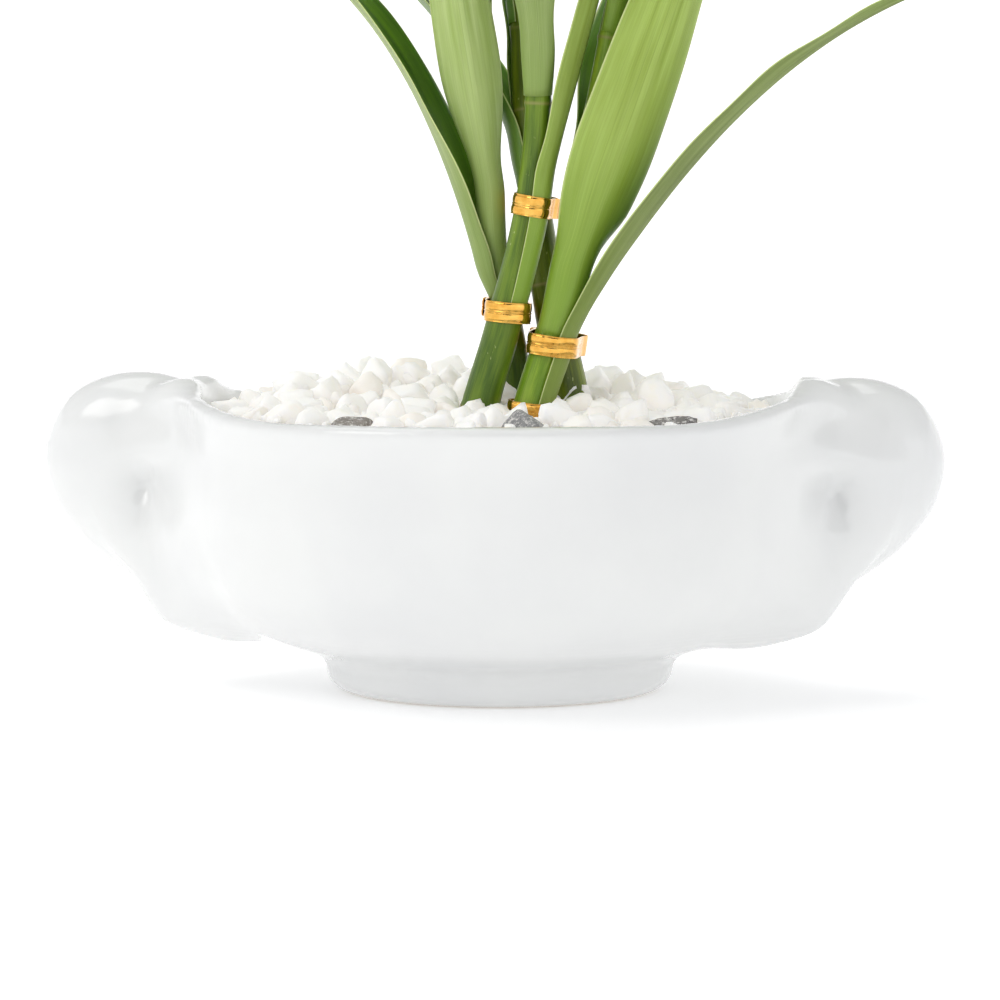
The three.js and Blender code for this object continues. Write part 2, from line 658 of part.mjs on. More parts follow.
// ---------------------------------------------------------------- the whole
const bamboo = new THREE.Group();
bamboo.add(piece("bowl", bowl(), GLAZE));

const planting = new THREE.Group();
planting.rotation.z = rad(PLANTING_TURN);
planting.add(piece("gravel", gravel(), WHITE_STONE));
DARK_STONES.forEach((row, i) => planting.add(piece(`dark_stone_${i + 1}`, darkStone(row, i), DARK_STONE)));
for (const key of Object.keys(CANES)) {
  planting.add(piece(`cane_${key}`, cane(key), CANE));
  LEAVES[key].forEach((row, i) => planting.add(piece(`leaf_${key}${i + 1}`, leaf(key, row), LEAF)));
}
for (const row of BANDS) planting.add(piece(`gold_band_${row.name}`, band(row), GOLD));
bamboo.add(planting);

export default bamboo;
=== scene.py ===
# %% [markdown]
# # Lucky bamboo in a two-handled bowl
# Four leafy stalks of Dracaena stand in white marble gravel, in a low glazed bowl. Ribbed strips of
# gold metal tie the stalks where they cross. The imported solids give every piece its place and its
# size, in metres, with +Z up, and this script gives each of them its real surface.
# Lengths are written in millimetres, as on a workshop drawing, and turned into metres when a mesh is
# made.

import math

import bmesh
import bpy
import numpy as np
import openvdb as vdb
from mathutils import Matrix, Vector


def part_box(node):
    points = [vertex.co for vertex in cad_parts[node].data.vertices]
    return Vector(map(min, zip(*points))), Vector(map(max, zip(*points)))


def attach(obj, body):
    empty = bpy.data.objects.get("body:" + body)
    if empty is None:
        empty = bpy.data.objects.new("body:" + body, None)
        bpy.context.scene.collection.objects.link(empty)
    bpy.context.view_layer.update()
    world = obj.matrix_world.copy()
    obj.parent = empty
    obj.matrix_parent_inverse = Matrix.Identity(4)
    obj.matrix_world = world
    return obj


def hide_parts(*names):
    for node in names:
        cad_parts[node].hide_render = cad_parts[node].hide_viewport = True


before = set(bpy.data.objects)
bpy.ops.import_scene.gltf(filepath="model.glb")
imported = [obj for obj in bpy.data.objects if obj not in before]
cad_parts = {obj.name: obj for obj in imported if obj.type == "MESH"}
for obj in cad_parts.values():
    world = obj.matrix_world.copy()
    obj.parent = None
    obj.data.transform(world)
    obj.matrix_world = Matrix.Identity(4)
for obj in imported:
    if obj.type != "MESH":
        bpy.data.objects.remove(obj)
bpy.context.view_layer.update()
MM = 0.001

# %% [markdown]
# ## The camera
# The photograph looks at the bowl from a little above its rim and from a little to the right of its
# middle. A long lens keeps the sides of the bowl nearly parallel, so the camera stands far back. All
# views share this camera, so it is made first and has no depth of field.

# %% Camera
CAMERA_TURN = math.radians(5)
CAMERA_AWAY = 710
CAMERA_HIGH = 95
AIM_HIGH = 42
SENSOR = 36
LENS = 115

camera_data = bpy.data.cameras.new("camera")
camera_data.sensor_width = SENSOR
camera_data.lens = LENS
camera = bpy.data.objects.new("camera", camera_data)
bpy.context.scene.collection.objects.link(camera)
stands = (math.sin(CAMERA_TURN) * CAMERA_AWAY, -math.cos(CAMERA_TURN) * CAMERA_AWAY, CAMERA_HIGH)
camera.location = Vector(stands) * MM
looking = Vector((0, 0, AIM_HIGH * MM)) - camera.location
camera.rotation_euler = looking.to_track_quat("-Z", "Y").to_euler()
bpy.context.scene.camera = camera
print("camera stands", round(camera.location.length, 3), "m away")

# %% [markdown]
# ## The studio
# White ware on a white table only shows its form where the light falls off, so the room is bright but
# not even: a large soft light hangs up on the left, a much weaker one fills from the right, a third one
# hangs over the plant, and the side that the camera stands on is darker.
# The table is a wide disc whose edge curves up, so that no horizon shows behind the bowl.

# %% Table
FLOOR_FLAT = 1500
FLOOR_CURVE = 900
FLOOR_SIDES = 96
FLOOR_RINGS = (0.01, 0.3, 0.7, 1)
FLOOR_BENDS = range(8, 89, 8)


def mesh_object(name, points, faces):
    """A smooth object from points in millimetres and faces as lists of point numbers."""
    mesh = bpy.data.meshes.new(name)
    mesh.from_pydata((np.asarray(points, float) * MM).tolist(), [], [list(map(int, f)) for f in faces])
    mesh.update()
    mesh.shade_smooth()
    made = bpy.data.objects.new(name, mesh)
    bpy.context.scene.collection.objects.link(made)
    return made


def ring_faces(rings, sides):
    """Quads between rings of points, each ring closed on itself."""
    faces = []
    for i in range(rings - 1):
        for j in range(sides):
            k = (j + 1) % sides
            faces.append((i * sides + j, i * sides + k, (i + 1) * sides + k, (i + 1) * sides + j))
    return faces


def turned(profile, sides):
    """Points and faces of a surface of revolution, from (radius, height) pairs off the axis."""
    turn = np.linspace(0, 2 * np.pi, sides, endpoint=False)
    points = [(r * math.cos(a), r * math.sin(a), z) for r, z in profile for a in turn]
    return points, ring_faces(len(profile), sides)


floor_profile = [(FLOOR_FLAT * share, 0) for share in FLOOR_RINGS]
for bend in map(math.radians, FLOOR_BENDS):
    floor_profile.append((FLOOR_FLAT + FLOOR_CURVE * math.sin(bend), FLOOR_CURVE * (1 - math.cos(bend))))
floor_points, floor_faces = turned(floor_profile, FLOOR_SIDES)
floor_faces.append(tuple(range(FLOOR_SIDES))[::-1])
table = mesh_object("table", floor_points, [face[::-1] for face in floor_faces])
print("table is", 2 * (FLOOR_FLAT + FLOOR_CURVE) / 1000, "m across")

# %% Lights and view
LIGHTS_AIM = 90
LIGHTS = {
    "key": ((-620, -560, 780), (520, 420), 1.9, (1, 0.985, 0.96)),
    "fill": ((820, -420, 420), (420, 520), 0.12, (0.97, 0.98, 1)),
    "top": ((-120, 240, 1050), (900, 700), 2.5, (1, 1, 1)),
}


def soft_light(name, place, size, power, colour):
    """A soft box, sized in mm, that looks at the middle of the object. Power in watts."""
    data = bpy.data.lights.new(name, "AREA")
    data.shape = "RECTANGLE"
    data.size, data.size_y = size[0] * MM, size[1] * MM
    data.energy = power
    data.color = colour
    light = bpy.data.objects.new(name, data)
    bpy.context.scene.collection.objects.link(light)
    light.location = Vector(place) * MM
    towards = Vector((0, 0, LIGHTS_AIM * MM)) - light.location
    light.rotation_euler = towards.to_track_quat("-Z", "Y").to_euler()


for name, row in LIGHTS.items():
    soft_light(name, *row)
view = bpy.context.scene.view_settings
view.view_transform = "Standard"
view.look = "None"
view.exposure = 0.0
print("lights:", list(LIGHTS))

# %% [markdown]
# ## Helpers for materials
# Every finish is a small tree of nodes round one Principled shader. Most of them need the same few
# steps: a colour from its everyday values, a node with its sockets filled, a ramp between colours and
# a bump. Written once, they keep each material short enough to read.

# %% Material helpers
def tint(red, green, blue):
    """A colour as seen on a screen, 0 to 255, as the linear colour that a shader takes."""
    def linear(value):
        share = value / 255
        return share / 12.92 if share <= 0.04045 else ((share + 0.055) / 1.055) ** 2.4
    return (linear(red), linear(green), linear(blue), 1)


def finish(name, **values):
    """A material, its node tree and its shader, with the shader's own sockets set."""
    material = bpy.data.materials.new(name)
    material.use_nodes = True
    shader = material.node_tree.nodes["Principled BSDF"]
    for socket, value in values.items():
        shader.inputs[socket.replace("_", " ")].default_value = value
    return material, material.node_tree, shader


def add(tree, kind, settings=None, **inputs):
    """A shader node. Each input is a value or another node's output. It goes by its name, with _ for
    spaces, or by in_ and its number."""
    made = tree.nodes.new("ShaderNode" + kind)
    for name, value in (settings or {}).items():
        setattr(made, name, value)
    for name, value in inputs.items():
        socket = made.inputs[int(name[3:]) if name.startswith("in_") else name.replace("_", " ")]
        if isinstance(value, bpy.types.NodeSocket):
            tree.links.new(value, socket)
        else:
            socket.default_value = value
    return made


def ramp(tree, factor, *stops):
    """A ramp's colour from (position, colour) stops."""
    made = add(tree, "ValToRGB", Fac=factor)
    elements = made.color_ramp.elements
    elements.remove(elements[-1])
    elements[0].position, elements[0].color = stops[0]
    for position, colour in stops[1:]:
        elements.new(position).color = colour
    return made.outputs["Color"]


def mixed(tree, factor, first, second, how="MIX"):
    """Two colours mixed by a factor."""
    made = add(tree, "Mix", {"data_type": "RGBA", "blend_type": how, "clamp_factor": True}, in_0=factor)
    for index, value in ((6, first), (7, second)):
        if isinstance(value, bpy.types.NodeSocket):
            tree.links.new(value, made.inputs[index])
        else:
            made.inputs[index].default_value = value
    return made.outputs[2]


def layered(tree, base, layers):
    """A colour with others laid over it, each by its own factor."""
    for factor, colour in layers:
        base = mixed(tree, factor, base, tint(*colour))
    return base


def shaded(colour, share):
    """A colour made darker or lighter."""
    return [min(value * share, 255) for value in colour]


def feed(tree, shader, **inputs):
    """Links outputs to a shader's sockets, by their names with _ for spaces."""
    for name, output in inputs.items():
        tree.links.new(output, shader.inputs[name.replace("_", " ")])


def own_place(tree):
    """Where a point is on the piece itself."""
    return add(tree, "TexCoord").outputs["Object"]


def stretch(tree, value, low, high, to_low=0.0, to_high=1.0):
    """A value moved from one range to another, and held inside it."""
    return add(tree, "MapRange", in_0=value, in_1=low, in_2=high, in_3=to_low, in_4=to_high).outputs[0]


def grain(tree, place, scale, detail=3.0, roughness=0.5, distortion=0.0):
    """Noise over a place; returns its value output."""
    noise = {"Scale": scale, "Detail": detail, "Roughness": roughness, "Distortion": distortion}
    return add(tree, "TexNoise", Vector=place, **noise).outputs[0]


def scaled(tree, place, x, y, z):
    """A place stretched along its axes."""
    return add(tree, "Mapping", Vector=place, Scale=(x, y, z)).outputs[0]


def raised(tree, shader, height, depth, strength=1.0, below=None):
    """A bump in the shader's normal; depth in mm."""
    made = add(tree, "Bump", Height=height, Strength=strength, Distance=depth * MM)
    if below is not None:
        tree.links.new(below, made.inputs["Normal"])
    tree.links.new(made.outputs[0], shader.inputs["Normal"])
    return made.outputs[0]


print("a middle grey is", round(tint(128, 128, 128)[0], 3), "as a linear value")

# %% [markdown]
# ## The room
# The walls of the room are its world: pale all round, and darker behind the camera and to the right of
# it. Polished metal is the exception. It shows nothing but what it mirrors, and a wholly white
# room would make it look like yellow paper. So what mirrors see is another room: dark on the camera's
# side, as a studio with its people is, with a bright ceiling, a tall window to each side and a narrow
# slit between them. The table glows a little more with its distance from the bowl, in metres, which
# keeps its far parts white.

# %% The room and the table's finish
def grey(value):
    """A slightly warm grey; above 1 it is brighter than white paper."""
    return (value, value * 0.985, value * 0.96, 1)


ROOM_STRENGTH = 0.82
FLOOR_GLOW = (0.1, 0.6, 0.27, 0.5)
# From the left to the right of the mirrored room: how far across, and how bright.
WINDOWS = [
    (0.0, 0.5), (0.05, 1.15), (0.25, 1.15), (0.31, 0.06), (0.345, 0.06), (0.36, 1.8), (0.39, 1.8),
    (0.405, 0.05), (0.7, 0.06), (0.75, 0.9), (0.95, 0.9), (1.0, 0.5),
]

world = bpy.data.worlds.new("studio")
bpy.context.scene.world = world
world.use_nodes = True
sky = world.node_tree
towards = add(sky, "SeparateXYZ", Vector=add(sky, "TexCoord").outputs["Generated"]).outputs
back_left = add(sky, "Math", {"operation": "MULTIPLY_ADD"}, in_0=towards["X"], in_1=-0.7, in_2=towards["Y"])
lit_side = stretch(sky, back_left.outputs[0], 0, 0.5)
plain_room = ramp(sky, lit_side, (0, (0.6, 0.605, 0.615, 1)), (1, (1, 1, 1, 1)))
windows = ramp(sky, stretch(sky, towards["X"], -1, 1), *((share, grey(value)) for share, value in WINDOWS))
front_room = mixed(sky, stretch(sky, towards["Z"], 0.6, 0.85), windows, (1.3, 1.3, 1.3, 1))
mirrored_room = mixed(sky, stretch(sky, towards["Y"], -0.2, 0.6), front_room, (0.84, 0.84, 0.84, 1))
by_mirrors = add(sky, "LightPath").outputs["Is Glossy Ray"]
background = sky.nodes["Background"]
sky.links.new(mixed(sky, by_mirrors, plain_room, mirrored_room), background.inputs["Color"])
background.inputs["Strength"].default_value = ROOM_STRENGTH

floor_material, floor_tree, floor_shader = finish("table_paper", Roughness=0.9, Specular_IOR_Level=0.1)
floor_place = own_place(floor_tree)
floor_fibre = grain(floor_tree, floor_place, 900)
floor_colour = ramp(floor_tree, floor_fibre, (0.3, (0.92, 0.92, 0.925, 1)), (0.7, (0.95, 0.95, 0.952, 1)))
floor_shader.inputs["Emission Color"].default_value = (1, 1, 1, 1)
from_bowl = add(floor_tree, "VectorMath", {"operation": "LENGTH"}, in_0=floor_place).outputs["Value"]
glow = stretch(floor_tree, from_bowl, *FLOOR_GLOW)
feed(floor_tree, floor_shader, Base_Color=floor_colour, Emission_Strength=glow)
table.data.materials.append(floor_material)
print("table finished in", floor_material.name)

# %% [markdown]
# ## The bowl
# The real bowl is slip-cast: liquid clay sets against a plaster mould, so every edge is soft and the
# handles flow out of the wall. Lofted rings would show a seam where a handle meets the body. A field
# gives that flow for nothing: each voxel holds its distance from the surface, a smooth minimum melts
# two forms together, and the surface is taken off where the field is zero.
# The wall's section is the drawing that the solids were turned from, in radius and height.

# %% The section of the wall
FOOT_RADIUS = 33
FOOT_TOP = (38.7, 5.6)
FOOT_FILLET = (45.2, 10.1)
BELLY = 70.9
RIM_Z = 61.8
RIM_RISE = 5.6
WALL = 4.6
FLOOR_Z = 11.5
LIP = WALL / 2
ROOM_RADIUS = BELLY - 0.1 - WALL


def bezier(*knots, count=20):
    """Points on a Bezier curve, by halving its control lines again and again (de Casteljau)."""
    share = np.linspace(0, 1, count)[:, None]
    lines = [np.tile(np.array(knot, float), (count, 1)) for knot in knots]
    while len(lines) > 1:
        lines = [a + (b - a) * share for a, b in zip(lines, lines[1:])]
    return lines[0]


lip_turn = np.linspace(0, np.pi, 14)
lip_arc = np.stack([BELLY - 0.1 - LIP + LIP * np.cos(lip_turn), RIM_Z - LIP + LIP * np.sin(lip_turn)], 1)
outside = np.concatenate([
    [(-90, 0), (FOOT_RADIUS, 0)],
    bezier((FOOT_RADIUS, 0), (FOOT_TOP[0] - 0.3, 0.4), FOOT_TOP)[1:],
    bezier(FOOT_TOP, (39.3, 8.2), FOOT_FILLET)[1:],
    bezier(FOOT_FILLET, (56.5, 13.6), (BELLY - 0.3, 17.5), (BELLY, 39))[1:],
    bezier((BELLY, 39), (BELLY, 48), (BELLY - 1.7, 53), (BELLY - 0.1, RIM_Z - LIP))[1:],
    lip_arc[1:],
    [(-90, RIM_Z - LIP)],
])
room = np.concatenate([
    [(-90, FLOOR_Z), (38, FLOOR_Z + 1)],
    bezier((38, FLOOR_Z + 1), (53, 15), (ROOM_RADIUS, 18), (ROOM_RADIUS, 40))[1:],
    [(ROOM_RADIUS, 150), (-90, 150)],
])
print("section points:", len(outside), "outside and", len(room), "inside")


# %% Distance fields
def smoothstep(value, low, high):
    """0 below low, 1 above high, and a smooth way between them."""
    share = np.clip((value - low) / (high - low), 0, 1)
    return share * share * (3 - 2 * share)


def smooth_least(a, b, reach):
    """The smaller of two distances, melted together within a reach in mm."""
    near = np.clip(reach - np.abs(a - b), 0, None) / reach
    return np.minimum(a, b) - near * near * reach / 4


def outline_distance(points, u, v):
    """Signed distance in a plane from a closed outline: below 0 inside it."""
    nearest = np.full(u.shape, 1e9)
    inside = np.zeros(u.shape, bool)
    for (x0, y0), (x1, y1) in zip(points, np.roll(points, -1, axis=0)):
        run, climb = x1 - x0, y1 - y0
        along = np.clip(((u - x0) * run + (v - y0) * climb) / (run**2 + climb**2), 0, 1)
        nearest = np.minimum(nearest, np.hypot(u - x0 - along * run, v - y0 - along * climb))
        if climb:
            crosses = (y0 > v) != (y1 > v)
            inside ^= crosses & (u < run * (v - y0) / climb + x0)
    return np.where(inside, -nearest, nearest)


SECTION_STEP = 0.4
section_r = np.arange(0, 112, SECTION_STEP)
section_z = np.arange(-8, 100, SECTION_STEP)
section_grid = np.meshgrid(section_r, section_z, indexing="ij")
outside_table = outline_distance(outside, *section_grid)
room_table = outline_distance(room, *section_grid)


def from_section(table_of, radius, height):
    """Reads a section's distance at (radius, height), between its four nearest entries."""
    i = np.clip((radius - section_r[0]) / SECTION_STEP, 0, len(section_r) - 1.001)
    j = np.clip((height - section_z[0]) / SECTION_STEP, 0, len(section_z) - 1.001)
    i0, j0 = i.astype(int), j.astype(int)
    di, dj = i - i0, j - j0
    low = table_of[i0, j0] * (1 - di) + table_of[i0 + 1, j0] * di
    high = table_of[i0, j0 + 1] * (1 - di) + table_of[i0 + 1, j0 + 1] * di
    return low * (1 - dj) + high * dj


print("section tables:", outside_table.shape)

# %% [markdown]
# Each handle is a fat roll of clay, bent round until its middle closes to a pinched dimple. Its outline
# was read off in the view from the front, as reach by angle from the dimple. In section it is round at
# the crest and falls in to the dimple, and a soft valley runs down from there, where the end of the roll
# was pressed against the bowl.

# %% The handles
# The dimple's place outward and up, and how far both handles stand to the left.
HANDLE_X = 75
HANDLE_Z = 45.5
HANDLE_SHIFT = -1.7
LEFT_HANDLE = 1.035
HANDLE_HALF = 12.8
DOME = 1.8
# The wide dimple, the pinch in its middle and the valley under it. The valley sinks in over its first
# 7 mm and fades out between 12 and 26 mm from the pinch. Its heading is given as outward and up.
DIMPLE_DEEP = 2.8
DIMPLE_WIDE = 7.5
PINCH_DEEP = 1.5
PINCH_WIDE = 3.4
VALLEY_DEEP = 1.5
VALLEY_WIDE = 6.5
VALLEY_HEADING = (0.17, 0.985)
VALLEY_START = 7
VALLEY_END = (12, 26)
# Reach in mm by angle in degrees, 0 outward and 90 up.
HANDLE_OUTLINE = [
    (-118, 36), (-104, 33.1), (-97, 31.3), (-92, 28.8), (-86, 25.2), (-76, 22), (-62, 20.7), (-44, 20.6),
    (-28, 21.4), (-10, 23.4), (12, 25.9), (30, 26.9), (45, 27.3), (58, 26.4), (72, 25.2), (90, 23.8),
    (109, 22.5), (135, 20.4), (180, 19), (215, 24),
]


def cubic(share, start, leave, end, enter):
    """A smooth way from start to end, that leaves and enters at the given slopes."""
    s2, s3 = share**2, share**3
    first, last = (2 * s3 - 3 * s2 + 1) * start, (3 * s2 - 2 * s3) * end
    return first + (s3 - 2 * s2 + share) * leave + last + (s3 - s2) * enter


def through(points, closed=False, count=200):
    """A smooth line through points: a centripetal Catmull-Rom spline."""
    knots = np.array(points, float)
    if closed:
        knots = np.concatenate([knots[-1:], knots, knots[:2]])
    else:
        knots = np.concatenate([[2 * knots[0] - knots[1]], knots, [2 * knots[-1] - knots[-2]]])
    spans = len(knots) - 3
    place = np.linspace(0, spans, count, endpoint=not closed)
    span = np.minimum(place.astype(int), spans - 1)
    share = (place - span)[:, None]
    p0, p1, p2, p3 = (knots[span + k] for k in range(4))
    steps = ((p0, p1), (p1, p2), (p2, p3))
    d0, d1, d2 = (np.sqrt(np.linalg.norm(b - a, axis=1))[:, None] for a, b in steps)
    leave = ((p1 - p0) / d0 - (p2 - p0) / (d0 + d1) + (p2 - p1) / d1) * d1
    enter = ((p2 - p1) / d1 - (p3 - p1) / (d1 + d2) + (p3 - p2) / d2) * d1
    return cubic(share, p1, leave, p2, enter)


handle_knots = [(math.cos(math.radians(a)) * r, math.sin(math.radians(a)) * r) for a, r in HANDLE_OUTLINE]
handle_line = through(handle_knots, closed=True, count=360)
handle_angle = np.arctan2(handle_line[:, 1], handle_line[:, 0])
handle_order = np.argsort(handle_angle)
handle_angle = handle_angle[handle_order]
handle_reach = np.hypot(handle_line[:, 0], handle_line[:, 1])[handle_order]


def on_handle(x, z, side):
    """A place in one handle's own plane: outward and up from its dimple."""
    size = LEFT_HANDLE if side < 0 else 1
    return (side * (x - HANDLE_SHIFT) - HANDLE_X) / size, (z - HANDLE_Z) / size


def handle_distance(x, y, z, side):
    """Roughly the distance in mm from one handle's surface, without its dimple."""
    u, v = on_handle(x, z, side)
    reach = np.interp(np.arctan2(v, u), handle_angle, handle_reach, period=2 * np.pi)
    return (np.hypot((np.hypot(u, v) / reach) ** DOME, y / HANDLE_HALF) - 1) * HANDLE_HALF


def pinch(x, z, side):
    """How deep the dimple and its valley go into a handle's face, in mm."""
    u, v = on_handle(x, z, side)
    apart = u**2 + v**2
    dimple = DIMPLE_DEEP * np.exp(-apart / DIMPLE_WIDE**2) + PINCH_DEEP * np.exp(-apart / PINCH_WIDE**2)
    down = -(u * VALLEY_HEADING[0] + v * VALLEY_HEADING[1])
    aside = u * VALLEY_HEADING[1] - v * VALLEY_HEADING[0]
    along_valley = smoothstep(down, 0, VALLEY_START) * (1 - smoothstep(down, *VALLEY_END))
    return dimple + VALLEY_DEEP * np.exp(-(aside / VALLEY_WIDE) ** 2) * along_valley


print("handle reach in mm:", round(handle_reach.min(), 1), "to", round(handle_reach.max(), 1))

# %% [markdown]
# The field is filled voxel by voxel. The rim climbs towards each handle, so heights are first let down
# by that rise and then read from the plain section. Then the handles melt in, little along their
# crests and much where their faces meet the belly. The room inside is taken out, and a faint
# unevenness is added, because hand-finished ware is never quite true and its reflections show it.

# %% The bowl's field and its surface
VOXEL = 1.03
RISE_FROM = 30
MELT_THIN = 4.0
MELT_MORE = 24.0
# Where a handle's face lies: aside from the bowl's middle, up from the table, and under the crest.
FACE_ASIDE = (2, 13)
FACE_LOW = (2, 17)
FACE_HIGH = (50, 62)
LIP_EDGE = 1.6
UNEVEN = 0.16
FIELD_LIMIT = 3.0
LOW = np.array([-107.0, -75.0, -4.0])
HIGH = np.array([104.0, 75.0, 78.0])


def rim_rise(x, y):
    """How far the rim climbs towards the nearer handle."""
    from_handle = np.arctan2(np.abs(y), np.abs(x))
    return RIM_RISE * np.cos(np.minimum(1.6 * from_handle, np.pi / 2)) ** 2


def bowl_field(x, y, z):
    """Roughly the distance from the bowl's surface, below 0 inside the clay."""
    radius = np.hypot(x, y)
    rise = rim_rise(x, y)
    flat = z
    for _ in range(2):
        flat = z - rise * smoothstep(flat, RISE_FROM, RIM_Z)
    value = from_section(outside_table, radius, flat)
    on_face = smoothstep(np.abs(y), *FACE_ASIDE) * smoothstep(z, *FACE_LOW)
    melt = MELT_THIN + MELT_MORE * (on_face * (1 - 0.5 * smoothstep(z, *FACE_HIGH)))
    for side in (-1, 1):
        value = smooth_least(value, handle_distance(x, y, z, side), melt)
        value = value + pinch(x, z, side)
    value = -smooth_least(-value, from_section(room_table, radius, z), LIP_EDGE)
    waves = np.sin(x / 17 + 1.3) * np.sin(y / 23 + 0.4 + z / 31)
    waves += 0.5 * np.sin(x / 9 - y / 13) * np.sin(z / 11)
    return value + UNEVEN * waves * smoothstep(z, 6, 16)


axes = [np.arange(low, high, VOXEL) for low, high in zip(LOW, HIGH)]
field = bowl_field(*np.meshgrid(*axes, indexing="ij")).astype(np.float32)
grid = vdb.FloatGrid(background=FIELD_LIMIT)
grid.copyFromArray(np.clip(field, -FIELD_LIMIT, FIELD_LIMIT))
bowl_points, bowl_quads = grid.convertToQuads(0.0)
bowl_points = bowl_points * VOXEL + LOW
bowl_points[:, 2] = np.maximum(bowl_points[:, 2], 0)
bowl = mesh_object("bowl_glazed", bowl_points, bowl_quads[:, ::-1])
print("bowl:", len(bowl_points), "points,", len(bowl_quads), "quads")


# %% [markdown]
# ## The glaze
# Under the glaze the body is white, and the glaze itself is clear and a little uneven, so the shader
# has a soft white base under a sharper coat. Only the flat of the foot is left bare, where the bowl
# stood in the kiln.

# %% Glaze
def dressed(piece, nodes, slot, *materials):
    """Puts a piece on the body, in its finish, in place of the nodes it stands for. Its slot is not used.
    """
    for material in materials:
        piece.data.materials.append(material)
    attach(piece, "root")
    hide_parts(*nodes)


glaze, tree, shader = finish("white_glaze", Coat_Weight=0.6, Coat_Roughness=0.08, Specular_IOR_Level=0.45)
place = own_place(tree)
cloud = grain(tree, place, 28, 4)
white = ramp(tree, cloud, (0.35, tint(223, 224, 224)), (0.65, tint(228, 229, 228)))
high = add(tree, "SeparateXYZ", Vector=place).outputs["Z"]
bare = stretch(tree, high, 0.0006, 0.0001)
specks = grain(tree, place, 900, 2)
bisque = ramp(tree, specks, (0.4, tint(222, 216, 206)), (0.65, tint(205, 196, 184)))
gloss = stretch(tree, grain(tree, place, 60, 3), 0.3, 0.7, 0.14, 0.24)
dull = stretch(tree, bare, 0, 1, 0, 0.85)
rough = add(tree, "Math", {"operation": "MAXIMUM"}, in_0=gloss, in_1=dull).outputs[0]
feed(tree, shader, Base_Color=mixed(tree, bare, white, bisque), Roughness=rough)
ripple = raised(tree, shader, grain(tree, place, 90, 3), 0.05, 0.5)
raised(tree, shader, specks, 0.02, 0.15, ripple)
dressed(bowl, ["bowl"], "white_glaze", glaze)
print("bowl dressed in", glaze.name)

# %% [markdown]
# ## The gravel
# Crushed marble breaks along flat faces, and tumbling rounds the edges. A ball of points gets that
# shape when each direction's reach is held in by ten planes, six of them a crooked block's: a soft
# minimum over the planes gives flat faces with worn edges, with no cutting at all.
# Large chips lie in two layers on a bed, with bits and grit between them, at the level that the pile
# has in the photograph: higher behind the stalks and lower along the front rim.

# %% A broken stone
def ball(detail):
    """Directions and faces of an icosphere."""
    shape = bmesh.new()
    bmesh.ops.create_icosphere(shape, subdivisions=detail, radius=1)
    directions = np.array([tuple(v.co.normalized()) for v in shape.verts])
    faces = np.array([[v.index for v in f.verts] for f in shape.faces])
    shape.free()
    return directions, faces


BALLS = {detail: ball(detail) for detail in (2, 3, 4)}


def spun(draw):
    """A random rotation matrix."""
    made, _ = np.linalg.qr(draw.normal(size=(3, 3)))
    return made * np.sign(np.linalg.det(made))


CROOKED = 0.22
BLOCK_PLANES = (0.5, 0.72)
BROKEN_PLANES = (0.6, 0.9)
FURTHEST = 0.9
BUMPS = 0.03


def broken_stone(draw, size, detail, wear=34.0):
    """A chip with flat broken faces: size is its half length in mm; wear sets how sharp its edges are."""
    directions, faces = BALLS[detail]
    block = np.concatenate([np.eye(3), -np.eye(3)]) + draw.normal(size=(6, 3)) * CROOKED
    normals = np.concatenate([block, draw.normal(size=(4, 3))])
    normals /= np.linalg.norm(normals, axis=1)[:, None]
    offsets = np.concatenate([draw.uniform(*BLOCK_PLANES, 6), draw.uniform(*BROKEN_PLANES, 4)])
    pressed = np.clip(directions @ normals.T / offsets, 0, None)
    reach = (np.sum(pressed**wear, axis=1) + FURTHEST**wear) ** (-1 / wear)
    bumps = sum(np.sin(directions @ draw.normal(size=3) * f + draw.uniform(0, 6)) / f for f in (5, 8, 13))
    points = directions * (reach / reach.max() * (1 + BUMPS * bumps))[:, None]
    points = points @ np.diag([1.0, draw.uniform(0.7, 0.95), draw.uniform(0.55, 0.85)]) * size
    return points @ spun(draw).T, faces


print("points in a fine stone:", len(BALLS[4][0]))

# %% Where the chips lie
PLANTING_TURN = math.radians(5)
GRAVEL_Z = 59.0
GRAVEL_PILE = 7.0
# Two low heaps on the left: how high, how far right and away, and half as wide and as deep.
LOW_HEAPS = [(2.4, -28, 10, 20, 28), (2.2, -47, 0, 11, 30)]
COS_TURN, SIN_TURN = math.cos(PLANTING_TURN), math.sin(PLANTING_TURN)


def planted(points):
    """Points of the planting, turned with it in the bowl."""
    points = np.asarray(points, float)
    x, y, z = points[..., 0], points[..., 1], points[..., 2]
    return np.stack([x * COS_TURN - y * SIN_TURN, x * SIN_TURN + y * COS_TURN, z], -1)


def gravel_top(x, y):
    """The level of the gravel, in the planting's own directions."""
    from_middle = np.hypot(x, y) / (BELLY - WALL)
    pile = GRAVEL_PILE * (1 - smoothstep(from_middle, 0.45, 1)) * smoothstep(y, -22, 26)
    level = GRAVEL_Z + pile
    for high, right, away, wide, deep in LOW_HEAPS:
        level = level + high * np.exp(-(((x - right) / wide) ** 2) - ((y - away) / deep) ** 2)
    return level


def spread(draw, sizes, limit, closeness, placed=()):
    """Random places in a disc, the largest first, each as far from the rest as the two sizes ask."""
    places = list(placed)
    for size in sorted(sizes, reverse=True):
        for _ in range(60):
            angle = draw.uniform(0, 2 * np.pi)
            out = (limit - size * 0.8) * math.sqrt(draw.uniform())
            x, y = out * math.cos(angle), out * math.sin(angle)
            if all(math.hypot(x - px, y - py) > closeness * (size + ps) for px, py, ps in places):
                places.append((x, y, size))
                break
    return places


# Chips tried, smallest and largest half length, how close they come, and how deep they are sunk.
LAYERS = [
    (280, 4.3, 7.6, 0.56, 0.9),
    (300, 4.0, 6.8, 0.6, 5.4),
    (430, 1.4, 3.2, 0.58, 0.2),
    (240, 1.6, 3.0, 0.6, 2.8),
]
